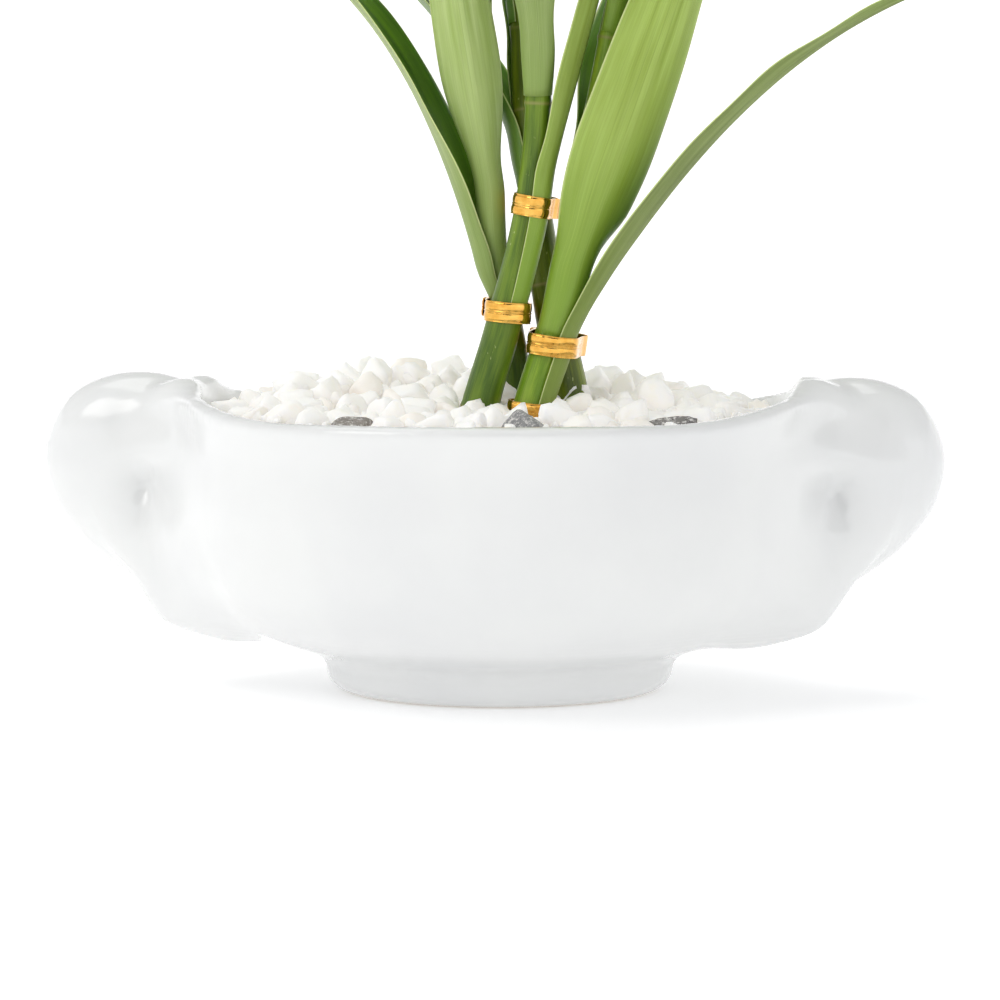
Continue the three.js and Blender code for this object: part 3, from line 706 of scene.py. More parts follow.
# Chips in front of the stalks' feet, as right, away and half length.
FRONT_CHIPS = [
    (13.5, -27, 7.4), (22, -19, 6.4), (3.5, -24, 5.6), (28, -31, 6.2), (-8, -26, 6.4), (-18, -18, 6.8),
]

layers = []
for layer, (count, low, high, closeness, sink) in enumerate(LAYERS):
    draw = np.random.default_rng(100 + layer)
    placed = () if layer else FRONT_CHIPS
    places = spread(draw, draw.uniform(low, high, count), ROOM_RADIUS - 1.2, closeness, placed)
    layers.append((sink, places))
print("chips in each layer:", [len(places) for _, places in layers])


# %% Chips
CHIP_LIFT = 1.6
FRONT_LIFT = 1.4
CHIP_STRAY = 0.7
CHIPS_LIMIT = ROOM_RADIUS - 0.5


def keep_values(piece, name, values):
    """Keeps a value for each point of a piece, for its finish to read."""
    kept = piece.data.attributes.new(name, "FLOAT", "POINT")
    kept.data.foreach_set("value", np.asarray(values, np.float32))


def joined(name, parts, values):
    """One object from (points, faces) parts, with a value for each part kept on its points."""
    lengths = [len(points) for points, _ in parts]
    starts = np.cumsum([0] + lengths[:-1])
    faces = np.concatenate([np.asarray(f) + s for (_, f), s in zip(parts, starts)])
    made = mesh_object(name, np.concatenate([points for points, _ in parts]), faces)
    keep_values(made, "chip", np.repeat(values, lengths))
    return made


DARK_STONES = 6
stone_boxes = [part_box(f"dark_stone_{i + 1}") for i in range(DARK_STONES)]
stone_places = [np.array((low + high) / 2) / MM for low, high in stone_boxes]
stone_sizes = [np.array(high - low) / MM for low, high in stone_boxes]


def clear_of_stones(x, y, size):
    """Whether a chip leaves the dark stones room."""
    spot = planted([x, y, 0])
    return all(math.hypot(*(spot - place)[:2]) > 0.33 * max(s[:2]) + 0.45 * size
               for place, s in zip(stone_places, stone_sizes))


heaps = {}
draw = np.random.default_rng(7)
for index, (sink, places) in enumerate(layers):
    for x, y, size in places:
        points, faces = broken_stone(draw, size, 2 if index else 3)
        z = gravel_top(x, y) - sink + draw.uniform(-CHIP_STRAY, CHIP_STRAY) + CHIP_LIFT
        if (x, y, size) in FRONT_CHIPS:
            z += FRONT_LIFT
        points = points + (x, y, z)
        out = np.hypot(points[:, 0], points[:, 1])
        points[:, :2] *= np.minimum(1, CHIPS_LIMIT / out)[:, None]
        quarter = 1 + int(x > 0) + 2 * int(y > 0)
        names = (f"marble_chips_{quarter}", "marble_under", f"marble_bits_{1 + quarter % 2}", "marble_grit")
        if clear_of_stones(x, y, size):
            heaps.setdefault(names[index], []).append((planted(points), faces))
chips = [joined(name, parts, draw.uniform(0, 1, len(parts))) for name, parts in heaps.items()]
print("chips:", {piece.name: (len(heaps[piece.name]), len(piece.data.polygons)) for piece in chips})

# %% [markdown]
# Under the chips a bed fills the bowl down to its floor, so that nothing is hollow if a chip is lifted.

# %% The bed under the chips
BED_SINK = 5.5
BED_SIDES = 96
BED_RINGS = (1, 0.9, 0.75, 0.6, 0.45, 0.3, 0.15)
bed_knots = [(38, FLOOR_Z + 1.5), (53, 15.5), (CHIPS_LIMIT, 18.5), (CHIPS_LIMIT, 40)]
bed_side = [(36, FLOOR_Z + 1.5), *bezier(*bed_knots, count=10)]
bed_top = [(CHIPS_LIMIT * share, GRAVEL_Z - BED_SINK) for share in BED_RINGS]
bed_points, bed_faces = turned(bed_side + bed_top, BED_SIDES)
bed_points = np.array(bed_points)
top = bed_points[:, 2] > GRAVEL_Z - BED_SINK - 0.1
bed_points[top, 2] = gravel_top(bed_points[top, 0], bed_points[top, 1]) - BED_SINK
bed_faces += [tuple(range(BED_SIDES))[::-1], tuple(range(len(bed_points) - BED_SIDES, len(bed_points)))]
bed = mesh_object("marble_bed", planted(bed_points), bed_faces)
print("bed top at", round(bed_points[:, 2].max(), 1), "mm")

# %% [markdown]
# White marble lets light in for a millimetre or two, which softens its shadows, so the shader scatters
# light under the surface, and a faint glow of its own stands for the light that chips hand on to one
# another. Each chip takes its own shade from the value kept on its points: most are warm white, some
# are greyer, and all are faintly clouded.

# %% Marble
MARBLE_SHADES = [
    (0.0, (250, 247, 243)), (0.45, (254, 253, 251)), (0.8, (252, 248, 243)), (1.0, (240, 235, 229)),
]
marble, tree, shader = finish("white_marble", Roughness=0.55, Subsurface_Weight=0.5, Subsurface_Scale=0.003)
shader.inputs["Subsurface Radius"].default_value = (1.0, 0.9, 0.75)
shader.inputs["Emission Color"].default_value = (1, 0.97, 0.92, 1)
shader.inputs["Emission Strength"].default_value = 0.09
place = own_place(tree)
each = add(tree, "Attribute", {"attribute_name": "chip"}).outputs["Fac"]
shade = ramp(tree, each, *((share, tint(*colour)) for share, colour in MARBLE_SHADES))
clouds = grain(tree, place, 260, 5, 0.6, 0.4)
cloudy = stretch(tree, clouds, 0.55, 0.8, 0, 0.3)
feed(tree, shader, Base_Color=mixed(tree, cloudy, shade, tint(214, 206, 196)))
crystals = add(tree, "TexVoronoi", Vector=place, Scale=1400).outputs["Distance"]
fine = raised(tree, shader, crystals, 0.05, 0.35)
raised(tree, shader, grain(tree, place, 700, 4), 0.12, 0.5, fine)
for piece in (*chips, bed):
    dressed(piece, ["gravel"], "white_marble", marble)
print("marble on", [piece.name for piece in (*chips, bed)])

# %% [markdown]
# ## The dark stones
# A few grey and brown stones lie among the white ones. They are the same rock broken the same way, so
# the same function makes them, with more points, because they catch the eye. Each nearly fills the box
# of the solid that it stands for. Their skin is speckled with pale crystals and pitted with dark ones.

# %% Dark stones
STONE_SHADES = [
    (166, 166, 167), (168, 160, 153), (152, 148, 146), (186, 172, 162), (222, 218, 212), (218, 214, 208),
]
PALE_FLECKS = (226, 223, 220)
DARK_PITS = (46, 45, 46)


def dark_finish(name, shade):
    """A dark stone's finish, round its own shade."""
    made, tree, shader = finish(name, Roughness=0.62, Specular_IOR_Level=0.4)
    place = own_place(tree)
    skin = layered(tree, tint(*shade), [
        (grain(tree, place, 300, 4), shaded(shade, 0.6)),
        (stretch(tree, grain(tree, place, 1100, 4, 0.7), 0.5, 0.64), PALE_FLECKS),
        (stretch(tree, grain(tree, place, 2300, 2), 0.38, 0.28), DARK_PITS),
    ])
    feed(tree, shader, Base_Color=skin)
    raised(tree, shader, grain(tree, place, 1500, 4), 0.12, 0.7)
    return made


for i, (middle, size, shade) in enumerate(zip(stone_places, stone_sizes, STONE_SHADES)):
    points, faces = broken_stone(np.random.default_rng(40 + i), 1, 4, wear=14)
    span = points.max(0) - points.min(0)
    points = (points - (points.max(0) + points.min(0)) / 2) / span * size * (0.98, 0.98, 0.96) + middle
    stone = mesh_object(f"granite_stone_{i + 1}", points, faces)
    dressed(stone, [f"dark_stone_{i + 1}"], "dark_stone", dark_finish(f"dark_granite_{i + 1}", shade))
print("dark stones:", len(STONE_SHADES))

# %% [markdown]
# ## The stalks
# A stalk grows as a chain of joints. At each joint a leaf was or is attached, and the ring that it
# leaves is what makes this plant look like bamboo. Each stalk follows a smooth line through a few
# points, given as right, away and up, with a radius at each of them.

# %% The lines of the stalks
# From the bottom to the top: right, away, up and radius.
CANES = {
    "a": [
        (-13, -3.5, 24, 4.1), (-4.2, -6, 64, 4.1), (0.6, -6.2, 80.6, 4),
        (6.3, -5.6, 107, 3.1), (8.4, -6, 132, 2.8), (7.6, -14, 183, 1.9),
    ],
    "b": [
        (9, 10, 24, 3.6), (4.2, 6.6, 65, 3.4), (2.2, 5.6, 81, 2.8),
        (-1.1, 5.2, 97, 2.1), (-3.4, 5, 122, 1.9), (-12.5, 4, 174, 1.7),
    ],
    "c": [
        (-3, -13.5, 24, 4), (7, -8.4, 64, 4), (11.6, -7, 79, 3.9),
        (15.6, -5, 95, 3.2), (20, -3, 122, 2.7), (27, -2, 162, 1.9),
    ],
    "d": [
        (23, 5, 24, 4.4), (15, 5, 68, 4.3), (11.8, 4.8, 83, 4),
        (8.6, 6.6, 103, 3.4), (5.6, 12, 129, 2.8), (4, 21, 174, 1.9),
    ],
}
CANE_STEPS = 901


class Cane:
    """A stalk's line, and where it is at any height."""

    def __init__(self, rows):
        rows = np.array(rows, float)
        self.line = through(rows[:, :3], count=CANE_STEPS)
        self.heading = np.gradient(self.line, axis=0)
        self.heading /= np.linalg.norm(self.heading, axis=1)[:, None]
        self.radii = np.interp(np.linspace(0, len(rows) - 1, CANE_STEPS), range(len(rows)), rows[:, 3])
        self.bottom, self.top = self.line[0, 2], self.line[-1, 2]

    def at(self, height):
        """The middle, the heading and the radius at a height."""
        columns = (*self.line.T, *self.heading.T, self.radii)
        *places, radius = (float(np.interp(height, self.line[:, 2], column)) for column in columns)
        middle, heading = np.array(places[:3]), np.array(places[3:])
        return middle, heading / np.linalg.norm(heading), radius


canes = {key: Cane(rows) for key, rows in CANES.items()}


def outward_from(heading, azimuth):
    """The direction square to a heading that points most nearly to an azimuth in plan."""
    level = np.array([math.cos(math.radians(azimuth)), math.sin(math.radians(azimuth)), 0])
    level = level - heading * (level @ heading)
    return level / np.linalg.norm(level)


print("stalk tops in mm:", {key: round(float(cane.top)) for key, cane in canes.items()})

# %% [markdown]
# ## Where the leaves grow
# Every leaf has its joint's height, the azimuth it points to, how far its sheath wraps the stalk to each
# side, the lengths of its sheath and its blade, its greatest half width, how far it leans out, how much
# it droops to the tip, and whether its sheath lies over another one. They are the solids' own leaves.

# %% The leaves' sizes
LEAVES = {
    "a": [
        (93, 335, 58, 24, 100, 5.5, 2, 5, 0), (131, 235, 95, 12, 108, 9.5, 22, 60, 0),
        (152, 310, 95, 12, 98, 9, 24, 52, 0), (171, 230, 95, 12, 82, 6.5, 4, 24, 0),
    ],
    "b": [
        (88.6, 165, 95, 8, 126, 9.5, 4, 78, 1), (96, 272, 95, 16, 108, 7.6, 1, 20, 0),
        (124, 102, 95, 10, 112, 9, 16, 44, 0), (148, 232, 95, 12, 98, 8.1, 11, 40, 0),
        (166, 96, 95, 12, 84, 6.5, 8, 24, 0),
    ],
    "c": [
        (69, 350, 60, 11, 128, 7, 16, 44, 0), (87, 297, 95, 6, 124, 10.9, 14, -14, 0),
        (106, 65, 95, 13, 112, 9.5, 18, 58, 0), (126, 27, 95, 12, 108, 9.5, 22, 52, 0),
        (145, 335, 95, 12, 84, 6.5, 8, 20, 0),
    ],
    "d": [
        (112, 152, 95, 12, 114, 9, 26, 50, 0), (130, 57, 95, 12, 112, 9.5, 20, 58, 0),
        (148, 132, 95, 12, 98, 9, 18, 48, 0), (167, 93, 95, 12, 84, 6.5, 8, 24, 0),
    ],
}
# Some sheaths run on below their joint, thin and tight on the stalk, by so many mm.
BELOW = {"a1": 8.5, "b1": 4, "b2": 6, "c1": 14, "c2": 9.5}
# The share of its blade over which a leaf opens.
OPENS = {"c2": 0.13}
print("leaves:", sum(len(rows) for rows in LEAVES.values()))


# %% [markdown]
# A stalk is a tube of rings, each square to the stalk's line. The rings swell at every joint, and fine
# ribs run along the skin. A curve with a bevel would be quicker to write, but a mesh can also keep a
# value on its points that tells the finish where the scars are.

# %% Stalks
CANE_SIDES = 40
CANE_STEP = 1.1
# From the lowest leaf's joint down to the bare joint under it.
BARE_JOINT = 21
# A joint's ring and the swelling above it: how much they stand out, half their length, and how far up.
RING = (0.3, 0.7, 0)
SWELLING = (0.12, 1.6, 2.2)


def uv_map(mesh, name, u, v):
    """A UV map from a (u, v) for each point."""
    corners = np.zeros(len(mesh.loops), np.int32)
    mesh.loops.foreach_get("vertex_index", corners)
    places = np.stack([np.asarray(u)[corners], np.asarray(v)[corners]], 1)
    mesh.uv_layers.new(name=name).data.foreach_set("uv", places.ravel().astype(np.float32))


def near_joint(height, joints, half, up):
    """1 at a joint, or so far up from it, and less away from there."""
    return max(math.exp(-((height - joint - up) / half) ** 2) for joint in joints)


def stalk(key):
    """A stalk, from its foot in the gravel to just under its top."""
    cane = canes[key]
    joints = [row[0] - 1.2 - BELOW.get(f"{key}{i + 1}", 0) for i, row in enumerate(LEAVES[key])]
    joints.insert(0, joints[0] - BARE_JOINT)
    heights = np.arange(cane.bottom, cane.top - 1.5, CANE_STEP)
    turn = np.linspace(0, 2 * np.pi, CANE_SIDES, endpoint=False)
    points, u, v, scar = [], [], [], []
    for height in heights:
        middle, heading, radius = cane.at(height)
        outward = outward_from(heading, 0)
        sideways = np.cross(heading, outward)
        ring, above = (near_joint(height, joints, *row[1:]) for row in (RING, SWELLING))
        swollen = radius + RING[0] * ring + SWELLING[0] * above - 0.05
        ribs = 0.03 * np.sin(turn * 17 + height * 0.02) + 0.02 * np.sin(turn * 29 + 1.7)
        reach = swollen + ribs
        points.extend(
            middle + np.outer(np.cos(turn) * reach, outward) + np.outer(np.sin(turn) * reach, sideways))
        u.extend(turn / (2 * np.pi))
        v.extend([height / 100] * CANE_SIDES)
        scar.extend([ring] * CANE_SIDES)
    faces = ring_faces(len(heights), CANE_SIDES)
    for z, order in ((heights[0], -1), (heights[-1], 1)):
        middle, heading, _ = cane.at(z)
        points.append(middle + heading * 0.3 * order)
        u.append(0.5)
        v.append(z / 100)
        scar.append(0)
        base = 0 if order < 0 else (len(heights) - 1) * CANE_SIDES
        for j in range(CANE_SIDES):
            edge = (base + j, base + (j + 1) % CANE_SIDES)
            faces.append((*edge[::order], len(points) - 1))
    made = mesh_object(f"stalk_{key}", planted(points), faces)
    uv_map(made.data, "skin", u, v)
    keep_values(made, "scar", scar)
    return made


stalks = {key: stalk(key) for key in CANES}
print("stalks:", {key: len(piece.data.polygons) for key, piece in stalks.items()})

# %% [markdown]
# The skin of a stalk is firm and satin, with fine lines along it, pale specks, and a brown scar at each
# ring. No two stalks have the same green: those in front are fresh, and those behind are painted darker, as
# painted shade for the shadow that falls among the stalks.

# %% The stalks' skin
# Each stalk's deep and fresh green. The greens of b and d, which stand behind, are darker as painted shade.
CANE_GREENS = {
    "a": ((68, 98, 8), (118, 146, 34)),
    "b": ((56, 82, 4), (98, 122, 20)),
    "c": ((104, 140, 18), (152, 180, 52)),
    "d": ((70, 88, 2), (118, 134, 14)),
}
SPECKS = (178, 190, 120)
SCAR = (150, 140, 84)


def cane_skin(name, deep, fresh):
    """A stalk's finish, between a deep and a fresh green."""
    made, tree, shader = finish(name, Specular_IOR_Level=0.35, Coat_Weight=0.06, Coat_Roughness=0.3)
    skin = add(tree, "UVMap", {"uv_map": "skin"}).outputs[0]
    wide = grain(tree, scaled(tree, skin, 9, 5, 1), 1, 3)
    lines = grain(tree, scaled(tree, skin, 90, 3.5, 1), 1, 4, 0.65)
    hair = grain(tree, scaled(tree, skin, 240, 9, 1), 1, 2, 0.6)
    dots = grain(tree, scaled(tree, own_place(tree), 1, 1, 0.45), 1500, 1)
    scar = add(tree, "Attribute", {"attribute_name": "scar"}).outputs["Fac"]
    green = layered(tree, tint(*deep), [
        (stretch(tree, wide, 0.35, 0.68), fresh),
        (stretch(tree, lines, 0.5, 0.68, 0, 0.5), shaded(deep, 0.62)),
        (stretch(tree, hair, 0.58, 0.72, 0, 0.4), shaded(fresh, 1.3)),
        (stretch(tree, dots, 0.74, 0.8, 0, 0.6), SPECKS),
        (stretch(tree, scar, 0.5, 1, 0, 0.75), SCAR),
    ])
    feed(tree, shader, Base_Color=green, Roughness=stretch(tree, lines, 0.3, 0.7, 0.3, 0.46))
    raised(tree, shader, lines, 0.12, 0.55)
    return made


for key, piece in stalks.items():
    dressed(piece, [f"cane_{key}"], "cane", cane_skin(f"stalk_skin_{key}", *CANE_GREENS[key]))
print("skins:", list(CANE_GREENS))

# %% [markdown]
# ## The leaves
# A leaf starts as a sheath that clasps the stalk, opens like a gutter and flattens into a long blade.
# The blade has no side veins: dozens of fine ones run along it from end to end. Its margin is a thin
# pale line, its inner face is dark and glossy, and its back is paler, with a waxy bloom.
# The middle line is built first, as on the solids, and a finer cross-section then runs along it.

# %% The shape of a leaf
# How much further round a sheath clasps at its foot, and how steeply the open blade folds at its rib.
BASE_SPREAD = 1.18
FOLD = math.radians(26)
# In mm: under a sheath's foot, under the solid's sheath, the solid's thickness, and one sheath's rise
# over another.
TIGHT = 0.07
CLEAR = 0.45
BLADE = 0.8
LAYER = 1.15
SHEATH_ROWS = [0, 0.5]
BLADE_ROWS = [0, 0.05, 0.12, 0.22, 0.34, 0.47, 0.6, 0.73, 0.86, 1]
LEAF_HALF_COLUMNS = 10
LEAF_STEP = 2.0
# Half a leaf's thickness, and how far its rib stands out behind it.
SKIN = 0.25
RIB_DEEP = 0.22


def blade_shape(share):
    """A blade's width by the share of its length: it swells at first and draws out to its tip."""
    swell = 0.52 + 0.48 * np.sin(np.minimum(share / 0.25, 1) * np.pi / 2)
    return swell * np.maximum(1 - share**3, 0) ** 1.25


def hermite(known, values, wanted):
    """A smooth curve through values at known places, read at the wanted ones."""
    known, values = np.array(known, float), np.array(values, float)
    slope = np.gradient(values, known, axis=0)
    i = np.clip(np.searchsorted(known, wanted, side="right") - 1, 0, len(known) - 2)
    width = (known[i + 1] - known[i])[:, None]
    share = ((wanted - known[i]) / width[:, 0])[:, None]
    return cubic(share, values[i], width * slope[i], values[i + 1], width * slope[i + 1])


class Leaf:
    """The middle line of a leaf and the directions along, across and inward at each place on it."""

    def __init__(self, key, number):
        row = LEAVES[key][number - 1]
        self.at, self.azimuth, wrap, self.sheath, self.blade, self.half, self.lean, self.droop, layer = row
        self.name = f"{key}{number}"
        self.below = BELOW.get(self.name, 0)
        self.opens = OPENS.get(self.name, 0.3)
        self.wrap = math.radians(wrap)
        self.base_wrap = self.wrap * (1 if self.below else BASE_SPREAD)
        self.cane = canes[key]
        _, self.base, radius = self.cane.at(self.at)
        self.off = CLEAR + RIB_DEEP + BLADE / 2 + layer * LAYER
        self.hug = radius + self.off
        self.out = outward_from(self.base, self.azimuth)

    def start(self, run):
        """1 where the sheath grows from the stalk, 0 where it ends."""
        return 1 - smoothstep(run, -self.below, self.sheath)

    def drawn_in(self, run):
        """How much closer to the stalk the sheath lies than the solid's."""
        return self.start(run) * (self.off - SKIN - TIGHT)

    def outside(self, height):
        """How far the sheath's outer face stands off the stalk's skin at a height, or None."""
        run = (height - self.at) / self.base[2]
        if run < -self.below or run > self.sheath + 2:
            return None
        return self.off - self.drawn_in(run) + SKIN

    def bend(self, run):
        """How far the blade has turned outward, in radians."""
        share = np.clip((run - self.sheath) / self.blade, 0, 1)
        return math.radians(1) * (self.lean * smoothstep(share, -0.1, 0.2) + self.droop * share**2)

    def middle_line(self, runs):
        """The middle line, stepped along the leaf's own rows and smoothed between them."""
        rows = [s * self.sheath for s in SHEATH_ROWS] + [self.sheath + t * self.blade for t in BLADE_ROWS]
        if self.below:
            rows = [-self.below, -self.below / 2, *rows]
        centre, last, centres = None, -1, []
        for run in rows:
            if last < self.sheath:
                middle, heading, _ = self.cane.at(self.at + min(run, self.sheath) * self.base[2])
                centre = middle + outward_from(heading, self.azimuth) * self.hug
            if run > self.sheath:
                bend = self.bend(run)
                heading = self.base * math.cos(bend) + self.out * math.sin(bend)
                centre = centre + heading * (run - max(last, self.sheath))
            centres.append(centre)
            last = run
        return hermite(rows, centres, runs)


print("a leaf has", 4 * LEAF_HALF_COLUMNS + 2, "points in each cross-section")


# %% [markdown]
# Across a leaf there are two sheets of points, its inner face and its back, half a millimetre apart in
# the middle and closer at the margin. Near the joint both hug the stalk, and further out they open
# round a folded rib. A solidify modifier would thicken one sheet evenly, without the rib on its back.

# %% A leaf's cross-section
def cross_line(width, opened, wrap, steps=48):
    """Half a cross-section from the midrib out: it hugs the stalk, or lies open with a folded rib."""
    i = np.arange(1, steps + 1)
    turn = (1 - opened) * wrap * (i - 0.5) / steps + opened * FOLD * np.tanh(3 * i / steps)
    s = np.concatenate([[0], np.cumsum(np.cos(turn))]) * width / steps
    n = np.concatenate([[0], np.cumsum(np.sin(turn))]) * width / steps
    return s, n, np.concatenate([[0], turn])


def leaf_section(leaf, run, centre, shares, wave):
    """The points of a leaf's inner and outer face at one place along it."""
    wave_high, wave_long, wave_start = wave
    share = min(max((run - leaf.sheath) / leaf.blade, 0), 1)
    bend = leaf.bend(run)
    along = leaf.base * math.cos(bend) + leaf.out * math.sin(bend)
    inward = leaf.base * math.sin(bend) - leaf.out * math.cos(bend)
    across = np.cross(along, inward)
    opened = smoothstep(run, leaf.sheath * 0.8, leaf.sheath + leaf.blade * leaf.opens)
    blending = smoothstep(run, leaf.sheath * 0.85, leaf.sheath + leaf.blade * 0.12)
    start, drawn_in = leaf.start(run), leaf.drawn_in(run)
    centre = centre + inward * drawn_in
    wrap = leaf.base_wrap * start + leaf.wrap * (1 - start)
    clasping = wrap * (leaf.hug - drawn_in)
    width = clasping * (1 - blending) + leaf.half * float(blade_shape(share)) * blending
    half = cross_line(max(width, 0.12), opened, wrap)
    place = np.abs(shares) * (len(half[0]) - 1)
    side = np.sign(shares)
    s_at, n_at, turn_at = (np.interp(place, range(len(values)), values) for values in half)
    rib = np.exp(-(shares / 0.09) ** 2) * RIB_DEEP * smoothstep(share, 0.0, 0.12) * (1 - share)
    from_edge = 0.3 + 0.7 * smoothstep(run, -leaf.below, 4 - leaf.below)
    thick = SKIN * (1 - 0.6 * np.abs(shares) ** 4) * (1 - 0.5 * share) * from_edge
    rolling = np.sin(run / wave_long * 6.28 + wave_start + side)
    lift = wave_high * smoothstep(share, 0.25, 0.7) * shares**2 * rolling
    sheets = []
    for off in (thick, -thick - rib):
        flat = side * (s_at - off * np.sin(turn_at))
        high = n_at + off * np.cos(turn_at) + lift
        sheets.append(centre + np.outer(flat, across) + np.outer(high, inward))
    return sheets


print("points on half a cross-section:", len(cross_line(1, 1, 1)[0]))


# %% A leaf's mesh
def leaf_faces(rows, columns):
    """The inner face's quads, and those of the outer face and of the edge between the two."""
    inner = []
    for i in range(rows - 1):
        for j in range(columns - 1):
            a = i * columns + j
            inner.append((a, a + 1, a + columns + 1, a + columns))
    back = rows * columns
    outer = [tuple(back + k for k in quad[::-1]) for quad in inner]
    rim = [i * columns for i in range(rows)] + [(rows - 1) * columns + j for j in range(1, columns)]
    rim += [i * columns + columns - 1 for i in range(rows - 2, -1, -1)] + list(range(columns - 2, 0, -1))
    edge = [(a, b, back + b, back + a) for a, b in zip(rim, rim[1:] + rim[:1])]
    return inner, outer + edge


def leaf_mesh(leaf, seed):
    """A leaf: its inner face takes the second material, and the rest of it the first."""
    draw = np.random.default_rng(seed)
    whole = leaf.sheath + leaf.blade
    runs = np.append(np.arange(-leaf.below, whole - 1.0, LEAF_STEP), whole - 0.6)
    shares = np.linspace(-1, 1, 2 * LEAF_HALF_COLUMNS + 1)
    wave = draw.uniform(0.35, 0.7), draw.uniform(26, 40), draw.uniform(0, 6.28, 2)[0]
    rows = zip(runs, leaf.middle_line(runs))
    inside, outside = zip(*(leaf_section(leaf, run, centre, shares, wave) for run, centre in rows))
    points = np.concatenate([*inside, *outside])
    inner, others = leaf_faces(len(runs), len(shares))
    made = mesh_object(f"blade_{leaf.name}", planted(points), inner + others)
    made.data.polygons.foreach_set("material_index", [1] * len(inner) + [0] * len(others))
    u = np.tile((shares + 1) / 2, 2 * len(runs))
    v = np.clip(runs / whole, 0, 1) + np.minimum(runs, 0) / 100
    uv_map(made.data, "blade", u, np.tile(np.repeat(v, len(shares)), 2))
    keep_values(made, "age", np.full(len(points), draw.uniform()))
    return made


leaf_rows = [Leaf(key, i + 1) for key, rows in LEAVES.items() for i in range(len(rows))]
leaves = {leaf.name: leaf_mesh(leaf, 300 + i) for i, leaf in enumerate(leaf_rows)}
print("leaves:", len(leaves), "faces:", sum(len(piece.data.polygons) for piece in leaves.values()))

# %% [markdown]
# Both faces share one pattern of veins, drawn from the place across the blade, so the lines close up
# towards the tip as real ones do. Light shines through a thin blade, so a little of it scatters inside.

# %% Leaf finishes
PALE_MARGIN = (206, 218, 150)
DRY_TIP = (176, 160, 84)


def leaf_finish(name, deep, fresh, sheath, rough, shine):
    """One face of a leaf, between a deep and a fresh green, and with its own green near the sheath."""
    made, tree, shader = finish(name, Specular_IOR_Level=shine, Subsurface_Weight=0.12)
    shader.inputs["Subsurface Scale"].default_value = 0.001
    shader.inputs["Subsurface Radius"].default_value = (0.6, 1.0, 0.2)
    blade = add(tree, "UVMap", {"uv_map": "blade"}).outputs[0]
    split = add(tree, "SeparateXYZ", Vector=blade).outputs
    age = add(tree, "Attribute", {"attribute_name": "age"}).outputs["Fac"]
    veins = grain(tree, scaled(tree, blade, 60, 1.4, 1), 1, 3, 0.6)
    threads = grain(tree, scaled(tree, blade, 190, 3, 1), 1, 2, 0.6)
    broad = grain(tree, scaled(tree, blade, 7, 3.2, 1), 1, 3, 0.55)
    across = stretch(tree, split["X"], 0, 1, -1, 1)
    from_rib = add(tree, "Math", {"operation": "ABSOLUTE"}, in_0=across).outputs[0]
    green = layered(tree, tint(*deep), [
        (stretch(tree, broad, 0.34, 0.68), fresh),
        (stretch(tree, age, 0, 1, 0, 0.3), shaded(deep, 0.72)),
        (stretch(tree, split["Y"], 0.02, 0.3, 0.85, 0), sheath),
        (stretch(tree, veins, 0.5, 0.7, 0, 0.35), shaded(deep, 0.8)),
        (stretch(tree, threads, 0.55, 0.75, 0, 0.3), shaded(fresh, 1.22)),
        (stretch(tree, from_rib, 0.95, 0.99), PALE_MARGIN),
        (stretch(tree, split["Y"], 0.975, 1.0, 0, 0.8), DRY_TIP),
    ])
    feed(tree, shader, Base_Color=green, Roughness=stretch(tree, broad, 0.3, 0.7, rough, rough + 0.12))
    raised(tree, shader, veins, 0.1, 0.5, raised(tree, shader, threads, 0.04, 0.4))
    return made


# Deep green, fresh green, the sheath's green, roughness and shine.
BACKS = {
    "fresh": ((142, 164, 62), (170, 194, 96), (126, 160, 46), 0.36, 0.4),
    "grey": ((134, 154, 84), (172, 188, 124), (132, 156, 76), 0.42, 0.4),
    # The deep back is a darker green than the fresh one, as painted shade for leaves behind the stalks.
    "deep": ((84, 120, 40), (124, 154, 66), (108, 144, 56), 0.34, 0.45),
    "dusky": ((106, 122, 58), (140, 156, 92), (128, 150, 64), 0.42, 0.3),
    "pale": ((158, 180, 96), (186, 204, 134), (140, 164, 82), 0.42, 0.4),
}
LEAF_BACKS = {"b1": "grey", "a2": "grey", "b2": "pale", "c1": "dusky"}
# The leaves that reach back behind the stalks take the deep back, as painted shade.
LEAF_BACKS.update(dict.fromkeys(("b3", "d1", "d3", "c3", "b5", "d4"), "deep"))
backs = {name: leaf_finish(f"leaf_back_{name}", *row) for name, row in BACKS.items()}
leaf_face = leaf_finish("leaf_face", (56, 94, 6), (104, 148, 20), (120, 156, 60), 0.28, 0.5)
for name, piece in leaves.items():
    dressed(piece, [f"leaf_{name}"], "leaf", backs[LEAF_BACKS.get(name, "fresh")], leaf_face)
print("leaf finishes:", [made.name for made in backs.values()], leaf_face.name)

# %% [markdown]
# ## The gold strips
# Each tie is a strip of thin gold metal, pressed with a ridge along its middle and rolled at its edges,
# bent round two stalks until its ends overlap. It takes the tightest line round both, as a string would,
# which is the convex outline of the two sections, but metal is stiffer than string, so the line is
# evened out a little at its bends.

# %% The tight line round two stalks
# The two stalks, the height, and how far the strip's up leans to the right and away, in degrees.
BANDS = {
    "upper": ("a", "d", 107.5, (9.5, -3)),
    "middle": ("a", "b", 84.2, (5, -2)),
    "lower": ("c", "d", 77, (8, -3)),
    "foot": ("c", "d", 62, (6, -3)),
}
BAND_TALL = 4.5
BAND_STEPS = 200
LINE_STEPS = 320
STIFF = 1.1
OVERLAP = 0.07
BAND_GAP = 0.15


def tight_outline(points):
    """The convex outline of points in a plane, anticlockwise."""
    order = sorted(map(tuple, points))

    def half(row):
        chain = []
        for p in row:
            while len(chain) > 1 and ((chain[-1][0] - chain[-2][0]) * (p[1] - chain[-2][1])
                                      - (chain[-1][1] - chain[-2][1]) * (p[0] - chain[-2][0])) <= 1e-6:
                chain.pop()
            chain.append(p)
        return chain[:-1]

    return np.array(half(order) + half(order[::-1]))


